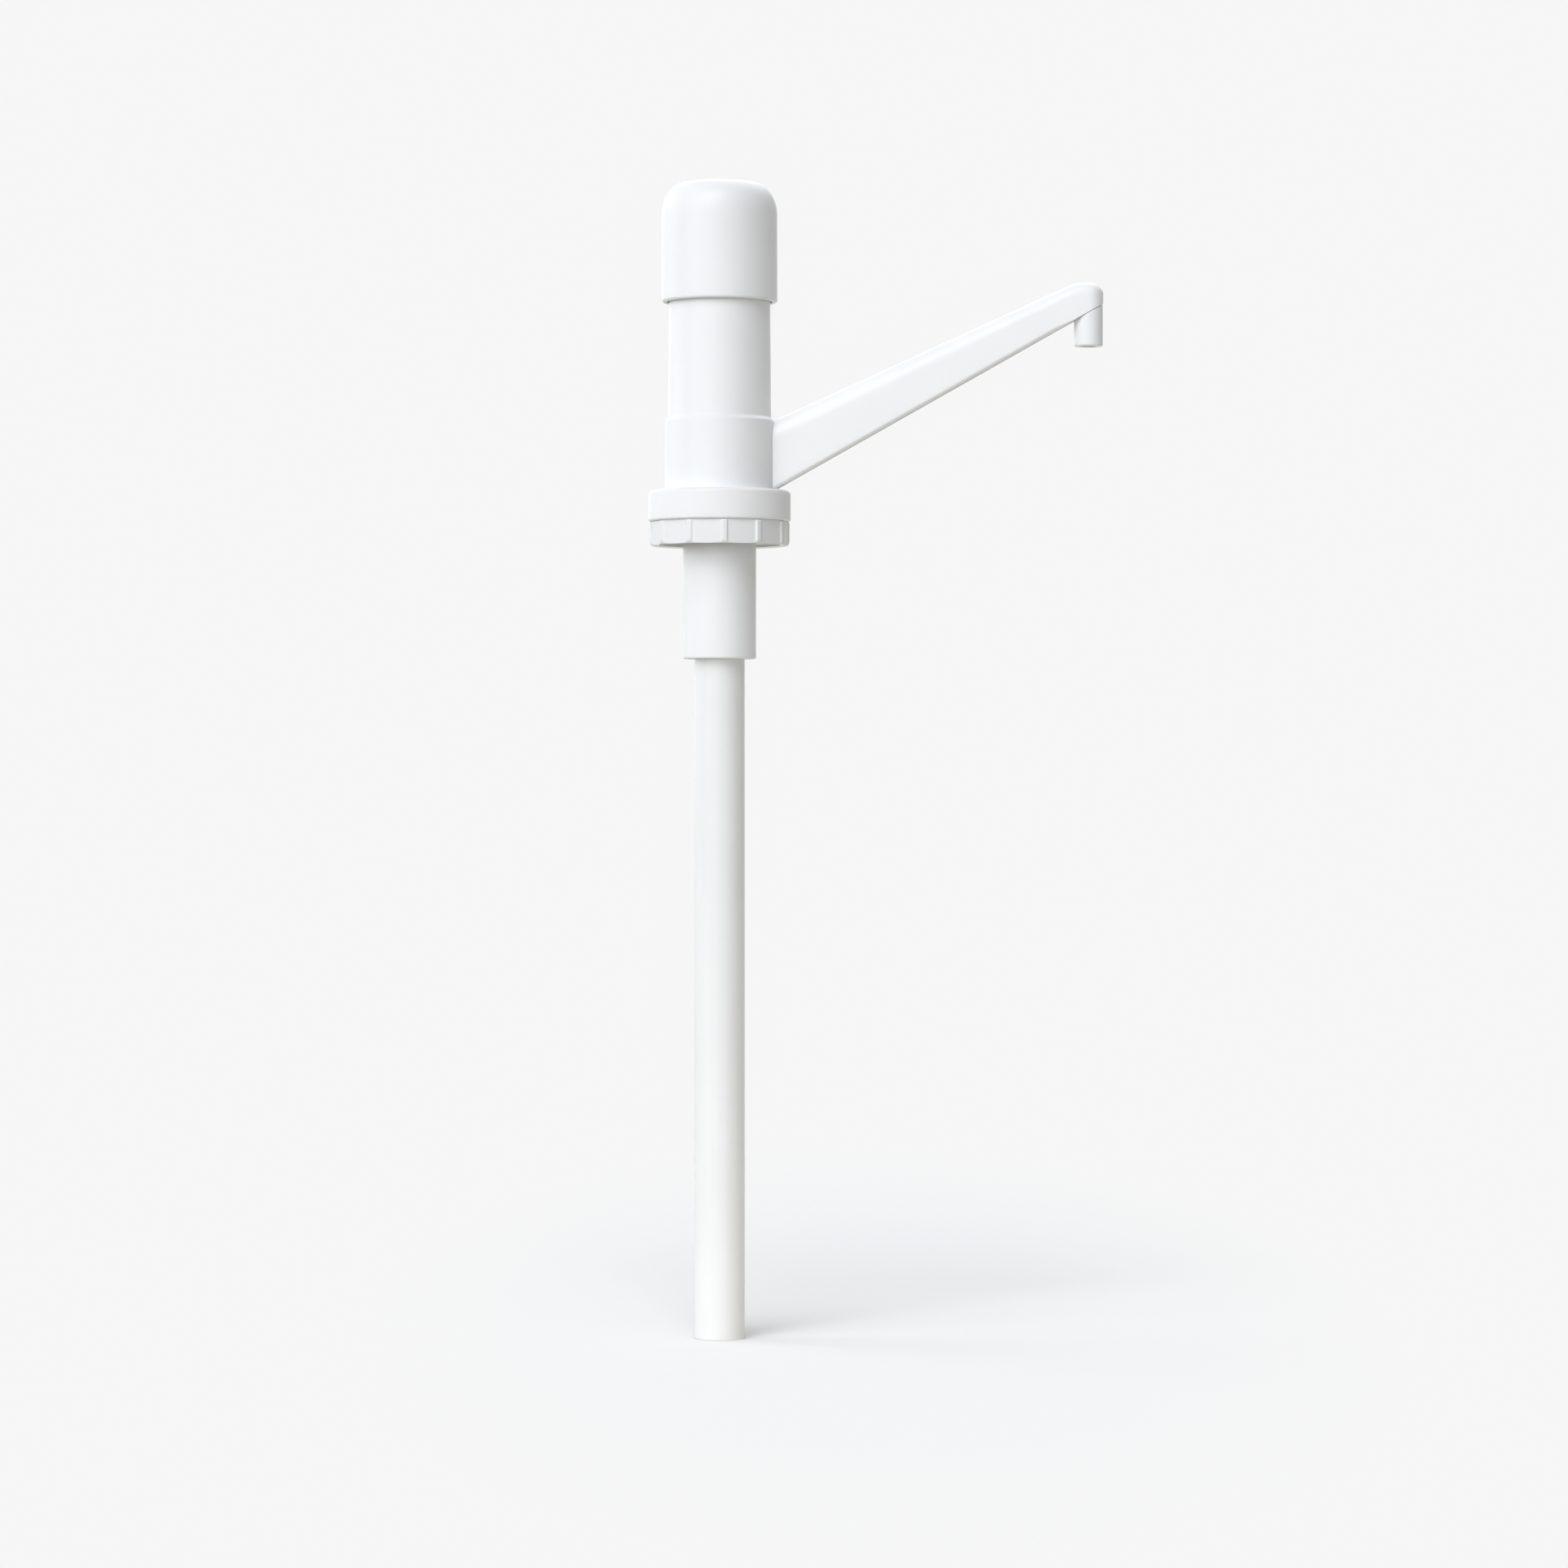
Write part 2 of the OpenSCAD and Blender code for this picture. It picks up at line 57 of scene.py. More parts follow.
AROUND = 160
AROUND_SMALL = 64
TINY = 1e-9
LEAST_ANGLE = 1e-3
LEAST_STEP_MM = 1e-5
WELD_M = 2e-6
SLIVER_M = 1e-7
NOISE_MEAN = 0.5
WHITE = (1, 1, 1, 1)
Array = np.ndarray
Colour = tuple[float, float, float]
Triple = tuple[float, float, float]
Span = tuple[float, float]


class Body(Enum):
    """The bodies that the new pieces ride on."""

    PUMP = "pump"
    NUT = "nut"
    PLUNGER = "plunger"


class Slot(Enum):
    """The record's material slots, one named by each new piece."""

    WHITE = "white_plastic"
    TUBE = "tube_plastic"
    RUBBER = "seal_rubber"
    SPRING = "spring_steel"


# Surfaces


@dataclass
class Shell:
    """One closed surface: points in millimetres and the quads between them."""

    points: Array
    faces: Array


def quads(rows: int, columns: int, close_rows: bool, close_columns: bool) -> Array:
    """Indices of the quads of a grid of points.

    Args:
        rows: Number of rows of points.
        columns: Number of points in a row.
        close_rows: Whether the last row joins the first.
        close_columns: Whether the last column joins the first.

    Returns:
        One line of four indices per quad.
    """
    i, j = np.meshgrid(np.arange(rows if close_rows else rows - 1),
                       np.arange(columns if close_columns else columns - 1), indexing="ij")
    down, right = (i + 1) % rows, (j + 1) % columns
    corners = (i * columns + j, down * columns + j, down * columns + right, i * columns + right)
    return np.stack(corners, axis=-1).reshape(-1, 4)


def grid_shell(x: Array, y: Array, z: Array, close_rows: bool, close_columns: bool) -> Shell:
    """A shell from three arrays of coordinates on one grid.

    Args:
        x: First coordinate of each grid point; y and z are of the same shape.
        y: Second coordinate.
        z: Third coordinate.
        close_rows: Whether the last row joins the first.
        close_columns: Whether the last column joins the first.

    Returns:
        The shell of all the grid's quads.
    """
    points = np.stack(np.broadcast_arrays(x, y, z), axis=-1)
    return Shell(points.reshape(-1, 3), quads(*points.shape[:2], close_rows, close_columns))


def arc(x: float, z: float, rx: float, rz: float, start: float, end: float, steps: int) -> Array:
    """Points of an elliptic arc, as profile rows that need no fillet.

    The point at angle t is (x + rx cos t, z + rz sin t).

    Args:
        x: Centre, first coordinate.
        z: Centre, second coordinate.
        rx: Half axis along the first coordinate.
        rz: Half axis along the second coordinate.
        start: First angle in degrees.
        end: Last angle in degrees.
        steps: Number of steps between them.

    Returns:
        Rows of (x, z, 0).
    """
    t = np.radians(np.linspace(start, end, steps + 1))
    return np.stack([x + rx * np.cos(t), z + rz * np.sin(t), 0 * t], axis=-1)


def fillet(rows: Array, closed: bool, steps: int = 5, guard: float = 0.2) -> Array:
    """Rounds the corners of a profile, all at once.

    A corner P with radius r between the unit directions a and b to its neighbours, at half angle h,
    touches its arc at A = P + a r / tan h and B = P + b r / tan h. The arc is the rational curve
    ((1-s)^2 A + 2 s (1-s) w P + s^2 B) / ((1-s)^2 + 2 s (1-s) w + s^2) with w = sin h, which is
    circular. One guard point a little before A and one after B keep the flat faces flat in shading.

    Args:
        rows: Lines of (x, z, radius).
        closed: Whether the last corner joins the first.
        steps: Steps along each arc.
        guard: Distance of the guard points, as a share of the radius.

    Returns:
        The rounded profile, lines of (x, z).
    """
    p, r = rows[:, :2], rows[:, 2:3]
    before, after = np.roll(p, 1, axis=0), np.roll(p, -1, axis=0)
    if not closed:
        before[0], after[-1] = 2 * p[0] - p[1], 2 * p[-1] - p[-2]
    a, b = before - p, after - p
    a /= np.maximum(np.linalg.norm(a, axis=1, keepdims=True), TINY)
    b /= np.maximum(np.linalg.norm(b, axis=1, keepdims=True), TINY)
    half = np.arccos(np.clip((a * b).sum(axis=1, keepdims=True), -1, 1)) / 2
    reach = np.where(r > 0, r / np.tan(np.maximum(half, LEAST_ANGLE)), 0)
    s = np.linspace(0, 1, steps + 1)[None, :, None]
    wa, wp, wb = (1 - s) ** 2, 2 * s * (1 - s) * np.sin(half)[:, None], s ** 2
    touch_a, touch_b = (p + a * reach)[:, None], (p + b * reach)[:, None]
    curve = (wa * touch_a + wp * p[:, None] + wb * touch_b) / (wa + wp + wb)
    first, last = touch_a + (a * guard * r)[:, None], touch_b + (b * guard * r)[:, None]
    line = np.concatenate([first, curve, last], axis=1).reshape(-1, 2)
    gap = np.linalg.norm(line - np.roll(line, 1, axis=0), axis=1) > LEAST_STEP_MM
    gap[0] = gap[0] or not closed
    return line[gap]


def revolve(profile: Array, closed: bool = True, x: float = 0.0, around: int = AROUND) -> Shell:
    """A profile turned about an upright axis: (x + r cos t, r sin t, z) for all t.

    Args:
        profile: Lines of (r, z).
        closed: Whether the profile is a ring; otherwise both its ends lie on the axis.
        x: Place of the axis.
        around: Number of steps in the turn.

    Returns:
        The closed shell.
    """
    t = np.arange(around) * (2 * np.pi / around)
    r, z = profile[:, :1], profile[:, 1:2]
    return grid_shell(x + r * np.cos(t), r * np.sin(t), z + 0 * t, closed, True)


def turned_round_x(shell: Shell, z: float) -> Shell:
    """An upright shell laid along +X at height z: the point (a, b, c) goes to (c, a, z + b)."""
    a, b, c = shell.points.T
    return Shell(np.stack([c, a, z + b], axis=-1), shell.faces)


def rod_along_x(radius: float, span: Span, z: float) -> Shell:
    """A round rod along +X at height z: a rectangle from the axis out, turned about it."""
    section = np.array([[0, span[0]], [radius, span[0]], [radius, span[1]], [0, span[1]]])
    return turned_round_x(revolve(section, False, around=AROUND_SMALL), z)


def bar(x: Span, y: Span, z: Span, edge: float, turn: float) -> Shell:
    """A flat bar with rounded upright edges, turned about the pump axis.

    The plan is a rectangle with filleted corners, carried up from the first to the last height and
    drawn in to its middle at both ends, which closes it.

    Args:
        x: Range along the bar.
        y: Range across it.
        z: Range of heights.
        edge: Radius of the upright edges.
        turn: Turn about the pump axis in degrees.

    Returns:
        The closed shell.
    """
    plan = fillet(np.array([[x[0], y[0], edge], [x[1], y[0], edge], [x[1], y[1], edge],
                            [x[0], y[1], edge]]), True, steps=3)
    share = np.array([0.0, 1.0, 1.0, 0.0])[:, None]
    height = np.array([z[0], z[0], z[1], z[1]])[:, None]
    middle = np.array([np.mean(x), np.mean(y)])
    px, py = (middle[k] + share * (plan[:, k] - middle[k]) for k in (0, 1))
    c, s = math.cos(math.radians(turn)), math.sin(math.radians(turn))
    return grid_shell(c * px - s * py, s * px + c * py, height + 0 * px, False, True)


# Shader graphs

Number = Union[float, "Value"]


class Value:
    """A shader output that Python arithmetic turns into Math nodes."""

    def __init__(self, graph: "Graph", socket: bpy.types.NodeSocket) -> None:
        """Keeps the graph and the socket."""
        self.graph = graph
        self.socket = socket

    def __add__(self, other: Number) -> "Value":
        """Sum."""
        return self.graph.math("ADD", self, other)

    def __radd__(self, other: Number) -> "Value":
        """Sum with a number on the left."""
        return self.graph.math("ADD", other, self)

    def __sub__(self, other: Number) -> "Value":
        """Difference."""
        return self.graph.math("SUBTRACT", self, other)

    def __rsub__(self, other: Number) -> "Value":
        """Difference from a number."""
        return self.graph.math("SUBTRACT", other, self)

    def __mul__(self, other: Number) -> "Value":
        """Product."""
        return self.graph.math("MULTIPLY", self, other)

    def __rmul__(self, other: Number) -> "Value":
        """Product with a number on the left."""
        return self.graph.math("MULTIPLY", other, self)


class Graph:
    """A node tree that is written as expressions."""

    def __init__(self, tree: bpy.types.NodeTree) -> None:
        """Empties the tree and keeps it."""
        self.tree = tree
        tree.nodes.clear()

    def feed(self, socket: bpy.types.NodeSocket, value: Any) -> None:
        """Links a Value to a socket, or sets the socket to a plain value.

        Args:
            socket: The socket.
            value: A Value, or what the socket's own setting takes.
        """
        if isinstance(value, Value):
            self.tree.links.new(value.socket, socket)
        else:
            socket.default_value = value

    def node(self, kind: str, settings: Optional[dict[str, Any]] = None,
             inputs: Optional[dict[Union[int, str], Any]] = None,
             output: Union[int, str] = 0) -> Value:
        """Adds a node.

        Args:
            kind: The node's type.
            settings: Its own settings, set first.
            inputs: Values or links of its sockets, by name or number.
            output: The socket that is returned.

        Returns:
            That output.
        """
        made = self.tree.nodes.new(kind)
        for name, value in (settings or {}).items():
            setattr(made, name, value)
        for key, value in (inputs or {}).items():
            self.feed(made.inputs[key], value)
        return Value(self, made.outputs[output])

    def math(self, operation: str, first: Number, second: Number) -> Value:
        """One Math node."""
        return self.node("ShaderNodeMath", {"operation": operation}, {0: first, 1: second})

    def mix(self, share: Number, a: Any, b: Any) -> Value:
        """A colour between a and b."""
        return self.node("ShaderNodeMix", {"data_type": "RGBA"}, {0: share, 6: a, 7: b}, 2)

    def place(self) -> Value:
        """Object coordinates, in metres."""
        return self.node("ShaderNodeTexCoord", output="Object")

    def seen(self) -> Value:
        """Tells rays that look at a surface from rays that gather light.

        Returns:
            1 for rays of the camera, of mirrors and of clear pieces, and 0 for the others.
        """
        kinds = [self.node("ShaderNodeLightPath", output=kind)
                 for kind in ("Is Camera Ray", "Is Glossy Ray", "Is Transmission Ray")]
        return self.ramp(kinds[0] + kinds[1] + kinds[2], 0, 1)

    def stretched(self, scale: Triple) -> Value:
        """Object coordinates times a scale per axis."""
        return self.node("ShaderNodeMapping", None, {"Vector": self.place(), "Scale": scale})

    def distance(self, centre: Triple, scale: Triple) -> Value:
        """Distance of a point from a centre, scaled per axis.

        Args:
            centre: The centre, in metres.
            scale: What each axis is multiplied by before the length is taken.

        Returns:
            The scaled distance in metres.
        """
        offset = self.node("ShaderNodeVectorMath", {"operation": "SUBTRACT"},
                           {0: self.place(), 1: centre})
        scaled = self.node("ShaderNodeVectorMath", {"operation": "MULTIPLY"}, {0: offset, 1: scale})
        return self.node("ShaderNodeVectorMath", {"operation": "LENGTH"}, {0: scaled}, "Value")

    def noise(self, where: Value, size_mm: float, detail: float = 2.0) -> Value:
        """Noise from 0 to 1 with features of about that size."""
        return self.node("ShaderNodeTexNoise", None,
                         {"Vector": where, "Scale": 1 / (size_mm * MM), "Detail": detail})

    def ramp(self, value: Value, low: float, high: float) -> Value:
        """A value taken from the range low to high to the range 0 to 1, and held there."""
        return self.node("ShaderNodeMapRange", {"clamp": True},
                         {"Value": value, "From Min": low, "From Max": high})

    def surface(self, inputs: dict[str, Any], height: Value, depth_mm: float,
                strength: float) -> None:
        """Ends a material in a Principled shader with a bump.

        Args:
            inputs: The shader's sockets.
            height: What the bump follows.
            depth_mm: Depth of the bump.
            strength: Its share.
        """
        normal = self.node("ShaderNodeBump", None,
                           {"Height": height, "Distance": depth_mm * MM, "Strength": strength})
        shader = self.node("ShaderNodeBsdfPrincipled", None, {**inputs, "Normal": normal})
        self.node_output(shader)

    def node_output(self, shader: Value) -> None:
        """Links a shader to the tree's output."""
        self.tree.links.new(shader.socket,
                            self.tree.nodes.new("ShaderNodeOutputMaterial").inputs["Surface"])


# Finishes


class Finish(Protocol):
    """What dresses a piece."""

    name: str

    def draw(self, graph: Graph) -> None:
        """Fills a material's graph."""


def material_of(finish: Finish) -> bpy.types.Material:
    """The material of a finish, drawn the first time it is asked for.

    Args:
        finish: The finish.

    Returns:
        Its material.
    """
    made = bpy.data.materials.get(finish.name)
    if made is None:
        made = bpy.data.materials.new(finish.name)
        made.use_nodes = True
        finish.draw(Graph(made.node_tree))
    return made


@dataclass(frozen=True)
class MouldedWhite:
    """White moulded plastic: faint clouds in the colour, a fine grain, rub marks and worn edges."""

    name: str
    colour: Colour = (0.847, 0.857, 0.868)
    shade: Colour = (0.822, 0.832, 0.844)
    roughness: float = 0.42
    ior: float = 1.49
    grain_mm: float = 0.45
    grain_depth_mm: float = 0.02
    grain_share: float = 0.25
    rub: float = 0.05
    rub_mm: float = 0.9
    rub_scale: Triple = (1.0, 1.0, 0.03)
    rub_height: float = 4.0
    cloud_mm: float = 26.0
    cloud_band: Span = (0.3, 0.7)
    cloud_rough: float = 0.1
    smudge_mm: float = 9.0
    smudge_band: Span = (0.45, 0.75)
    smudge_rough: float = 0.06
    worn_colour: Colour = (0.875, 0.882, 0.888)
    worn_band: Span = (0.51, 0.58)
    worn_share: float = 0.4
    worn_gloss: float = 0.08

    def draw(self, graph: Graph) -> None:
        """Fills the graph: clouds and worn edges in the colour, rub marks in the roughness.

        Args:
            graph: The material's graph.
        """
        place = graph.place()
        clouds = graph.noise(place, self.cloud_mm, 3)
        grain = graph.noise(place, self.grain_mm, 2)
        marks = graph.noise(graph.stretched(self.rub_scale), self.rub_mm, 3)
        smudge = graph.ramp(graph.noise(place, self.smudge_mm, 4), *self.smudge_band)
        bend = graph.node("ShaderNodeNewGeometry", output="Pointiness")
        worn = graph.ramp(bend, *self.worn_band)
        base = graph.mix(graph.ramp(clouds, *self.cloud_band), (*self.shade, 1), (*self.colour, 1))
        colour = graph.mix(worn * self.worn_share, base, (*self.worn_colour, 1))
        rough = (self.roughness + (clouds - NOISE_MEAN) * self.cloud_rough
                 + (marks - NOISE_MEAN) * self.rub + smudge * self.smudge_rough)
        graph.surface({"Base Color": colour, "Roughness": rough - worn * self.worn_gloss,
                       "IOR": self.ior},
                      grain + marks * self.rub * self.rub_height, self.grain_depth_mm,
                      self.grain_share)


@dataclass(frozen=True)
class ExtrudedTube:
    """Milky extruded tube: faint lines along its length and a slight glow in its wall."""

    name: str = "tube_milky"
    colour: Colour = (0.825, 0.829, 0.833)
    shade: Colour = (0.793, 0.797, 0.801)
    roughness: float = 0.36
    ior: float = 1.5
    glow: float = 0.08
    glow_radius: Triple = (0.0015, 0.0015, 0.0015)
    line_mm: float = 1.1
    line_scale: Triple = (1.0, 1.0, 0.004)
    line_colour: float = 0.35
    line_rough: float = 0.08
    line_depth_mm: float = 0.03
    line_share: float = 0.2
    cloud_mm: float = 18.0
    cloud_scale: Triple = (1.0, 1.0, 0.35)
    cloud_band: Span = (0.3, 0.7)
    cloud_rough: float = 0.1

    def draw(self, graph: Graph) -> None:
        """Fills the graph: drawn lines in the colour, the roughness and the bump.

        Args:
            graph: The material's graph.
        """
        lines = graph.noise(graph.stretched(self.line_scale), self.line_mm, 3)
        clouds = graph.noise(graph.stretched(self.cloud_scale), self.cloud_mm, 3)
        milk = graph.ramp(clouds + (lines - NOISE_MEAN) * self.line_colour, *self.cloud_band)
        colour = graph.mix(milk, (*self.shade, 1), (*self.colour, 1))
        rough = (self.roughness + (clouds - NOISE_MEAN) * self.cloud_rough
                 + (lines - NOISE_MEAN) * self.line_rough)
        graph.surface({"Base Color": colour, "Roughness": rough, "IOR": self.ior,
                       "Subsurface Weight": self.glow, "Subsurface Scale": 1.0,
                       "Subsurface Radius": self.glow_radius},
                      lines, self.line_depth_mm, self.line_share)


@dataclass(frozen=True)
class SealRubber:
    """Matt grey sealing rubber with a dusty bloom."""

    name: str = "rubber_grey"
    colour: Colour = (0.06, 0.06, 0.063)
    bloom: Colour = (0.12, 0.12, 0.122)
    bloom_share: float = 0.7
    roughness: float = 0.62
    dust_mm: float = 3.0
    dust_band: Span = (0.4, 0.75)
    dust_rough: float = 0.2
    skin_mm: float = 0.25
    skin_depth_mm: float = 0.02
    skin_share: float = 0.35

    def draw(self, graph: Graph) -> None:
        """Fills the graph: bloom in the colour, a skin of fine bumps.

        Args:
            graph: The material's graph.
        """
        place = graph.place()
        dust = graph.ramp(graph.noise(place, self.dust_mm, 4), *self.dust_band)
        skin = graph.noise(place, self.skin_mm, 2)
        colour = graph.mix(dust * self.bloom_share, (*self.colour, 1), (*self.bloom, 1))
        rough = self.roughness + dust * self.dust_rough
        graph.surface({"Base Color": colour, "Roughness": rough}, skin, self.skin_depth_mm,
                      self.skin_share)


@dataclass(frozen=True)
class Steel:
    """Steel that is polished or drawn, with fine marks and faint haze."""

    name: str
    colour: Colour = (0.62, 0.62, 0.64)
    roughness: float = 0.12
    haze_colour: Colour = (0.55, 0.55, 0.56)
    haze_mm: float = 2.5
    haze_share: float = 0.5
    haze_rough: float = 0.08
    mark_mm: float = 0.12
    mark_rough: float = 0.06
    mark_depth_mm: float = 0.004
    mark_share: float = 0.2

    def draw(self, graph: Graph) -> None:
        """Fills the graph: haze in the colour and the roughness, fine marks in the bump.

        Args:
            graph: The material's graph.
        """
        place = graph.place()
        haze = graph.noise(place, self.haze_mm, 3)
        marks = graph.noise(place, self.mark_mm, 2)
        colour = graph.mix(haze * self.haze_share, (*self.colour, 1), (*self.haze_colour, 1))
        rough = (self.roughness + haze * self.haze_rough
                 + (marks - NOISE_MEAN) * self.mark_rough)
        graph.surface({"Base Color": colour, "Metallic": 1.0, "Roughness": rough}, marks,
                      self.mark_depth_mm, self.mark_share)


CAP_WHITE = MouldedWhite("plastic_cap", roughness=0.38, grain_mm=0.5, rub=0.04)
BODY_WHITE = MouldedWhite("plastic_body", roughness=0.42)
SLEEVE_WHITE = MouldedWhite("plastic_sleeve", roughness=0.4, rub=0.16, rub_scale=(1.0, 1.0, 0.012))
ARM_WHITE = MouldedWhite("plastic_arm", (0.878, 0.886, 0.893), (0.858, 0.866, 0.874),
                         roughness=0.4, rub=0.06, rub_scale=(0.06, 1.0, 0.06))
NUT_WHITE = MouldedWhite("plastic_nut", (0.808, 0.82, 0.828), (0.783, 0.795, 0.803),
                         roughness=0.46, grain_mm=0.35, grain_depth_mm=0.03, rub=0.06)
INNER_WHITE = MouldedWhite("plastic_inner", roughness=0.36, grain_depth_mm=0.012)
TUBE_MILKY = ExtrudedTube()
RUBBER_GREY = SealRubber()
BALL_STEEL = Steel("steel_ball", roughness=0.07)
WIRE_STEEL = Steel("steel_wire", colour=(0.5, 0.5, 0.52), roughness=0.26)


# Pieces


@dataclass
class Piece:
    """One visible piece: its shells, what is cut from them, its finish and what it stands for."""

    name: str
    node: str
    shells: list[Shell]
    finish: Finish
    slot: Slot
    body: Body
    cutters: list[Shell] = field(default_factory=list)
    sharp_deg: float = 40.0

    @staticmethod
    def mesh(name: str, shells: list[Shell]) -> bpy.types.Mesh:
        """One mesh of several shells, in metres, with poles and seams merged and faces outwards.

        Args:
            name: The mesh's name.
            shells: The closed shells.

        Returns:
            The mesh.
        """
        starts = np.cumsum([0] + [len(s.points) for s in shells[:-1]])
        points = np.concatenate([s.points for s in shells]) * MM
        faces = np.concatenate([s.faces + n for s, n in zip(shells, starts)])
        made = bpy.data.meshes.new(name)
        made.vertices.add(len(points))
        made.vertices.foreach_set("co", points.astype(np.float32).ravel())
        made.loops.add(faces.size)
        made.loops.foreach_set("vertex_index", faces.astype(np.int32).ravel())
        made.polygons.add(len(faces))
        made.polygons.foreach_set("loop_start", np.arange(0, faces.size, 4, dtype=np.int32))
        made.update(calc_edges=True)
        work = bmesh.new()
        work.from_mesh(made)
        bmesh.ops.remove_doubles(work, verts=work.verts, dist=WELD_M)
        bmesh.ops.dissolve_degenerate(work, edges=work.edges, dist=SLIVER_M)
        bmesh.ops.recalc_face_normals(work, faces=work.faces)
        work.to_mesh(made)
        work.free()
        return made

    def carve(self, piece: bpy.types.Object) -> None:
        """Cuts the cutters out of a piece and keeps the result as its mesh.

        Args:
            piece: The piece, whose mesh is replaced.
        """
        cutter = bpy.data.objects.new(self.name + "_cutter", self.mesh("cutter", self.cutters))
        bpy.context.scene.collection.objects.link(cutter)
        cut = piece.modifiers.new("cut", "BOOLEAN")
        cut.operation, cut.solver, cut.object = "DIFFERENCE", "EXACT", cutter
        cut.use_self = True
        shape = piece.evaluated_get(bpy.context.evaluated_depsgraph_get())
        whole, piece_mesh = bpy.data.meshes.new_from_object(shape), piece.data
        piece.modifiers.clear()
        piece.data = whole
        bpy.data.meshes.remove(piece_mesh)
        bpy.data.objects.remove(cutter)

    def make(self) -> bpy.types.Object:
        """Makes the object, dresses it, ties it to its body and hides the node it stands for.

        Returns:
            The finished piece.
        """
        piece = bpy.data.objects.new(self.name, self.mesh(self.name, self.shells))
        bpy.context.scene.collection.objects.link(piece)
        if self.cutters:
            self.carve(piece)
        mesh = piece.data
        mesh.name = self.name
        mesh.materials.clear()
        mesh.materials.append(material_of(self.finish))
        mesh.polygons.foreach_set("use_smooth", np.ones(len(mesh.polygons), dtype=bool))
        mesh.set_sharp_from_angle(angle=math.radians(self.sharp_deg))
        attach(piece, self.body.value)
        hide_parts(self.node)
        LOG.info("%s stands for %s on %s: %d faces", self.name, self.node, self.body.value,
                 len(mesh.polygons))
        return piece


def dress(node: str, finish: Finish) -> None:
    """Gives a carried-over node its finish.

    Args:
        node: The node's name.
        finish: What it is dressed in.
    """
    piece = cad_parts[node]
    if not piece.material_slots:
        piece.data.materials.append(None)
    for slot in piece.material_slots:
        slot.material = material_of(finish)
    LOG.info("%s keeps its own shape, in %s", node, finish.name)


# Sub-assemblies


@dataclass(frozen=True)
class Shoulder:
    """The curved step from the sleeve's foot out to the housing's body."""

    neck: float = 19.1
    body: float = 20.2
    top: float = 38.5
    height: float = 2.0
    steps: int = 16

    def radius(self, z: Array) -> Array:
        """Radius at a height: half a cosine wave from the neck's radius down to the body's."""
        s = np.clip((self.top - z) / self.height, 0, 1)
        return self.neck + (self.body - self.neck) * (1 - np.cos(np.pi * s)) / 2

    def profile(self) -> Array:
        """Profile rows from the top down."""
        z = np.linspace(self.top, self.top - self.height, self.steps + 1)
        return np.stack([self.radius(z), z, 0 * z], axis=-1)


@dataclass
class PushCap:
    """The press cap with its stem socket and ribs."""

    radius: float = 21.4
    inside: float = 19.45
    rim: float = 80.7
    ledge: float = 117.0
    roof: float = 122.0
    top: float = 124.8
    crown: float = 0.5
    round_w: float = 8.6
    round_h: float = 11.8
    rim_edge: float = 0.9
    socket: float = 6.05
    boss: float = 8.5
    boss_low: float = 109.0
    corner: float = 16.4
    rib_end: float = 13.0
    rib_low: float = 113.0
    rib_t: float = 1.4
    rib_edge: float = 0.4
    rib_bite: float = 0.3
    rib_sink: float = 0.5
    rib_turns: tuple[float, ...] = (45.0, 135.0, 225.0, 315.0)
    dimple: float = 0.12
    dimple_r: float = 1.7
    dimple_soft: float = 0.15
    mouth_edge: float = 0.35
    roof_edge: float = 0.5
    boss_root: float = 0.4
    boss_edge: float = 0.3
    crown_points: int = 25
    edge_steps: int = 22

    def profile(self) -> Array:
        """The cap's section from the top of the axis round the rim to the roof of the socket.

        The crown is half a cosine wave, less a small dimple where the moulding gate was. It runs
        level into the elliptic edge.

        Returns:
            Lines of (r, z) with both ends on the axis.
        """
        flat = self.radius - self.round_w
        r = np.linspace(0, flat, self.crown_points)
        wave = self.crown * (1 + np.cos(np.pi * r / flat)) / 2
        dimple = self.dimple / (1 + np.exp((r - self.dimple_r) / self.dimple_soft))
        dome = np.stack([r, self.top + wave - dimple, 0 * r], axis=-1)
        edge = arc(flat, self.top - self.round_h, self.round_w, self.round_h, 90, 0,
                   self.edge_steps)[1:]
        inner = np.array([
            [self.radius, self.rim, self.rim_edge], [self.inside, self.rim, self.mouth_edge],
            [self.inside, self.ledge, self.roof_edge], [self.corner, self.roof, self.roof_edge],
            [self.boss, self.roof, self.boss_root], [self.boss, self.boss_low, self.boss_edge],
            [self.socket, self.boss_low, self.boss_edge], [self.socket, self.roof, 0],
            [0, self.roof, 0]])
        return fillet(np.concatenate([dome, edge, inner]), False)

    def build(self) -> None:
        """Makes the cap with its four ribs."""
        ribs = [bar((self.boss - self.rib_bite, self.rib_end), (-self.rib_t / 2, self.rib_t / 2),
                    (self.rib_low, self.roof + self.rib_sink), self.rib_edge, turn)
                for turn in self.rib_turns]
        Piece("cap_shell", "push_cap", [revolve(self.profile(), False), *ribs], CAP_WHITE,
              Slot.WHITE, Body.PLUNGER).make()


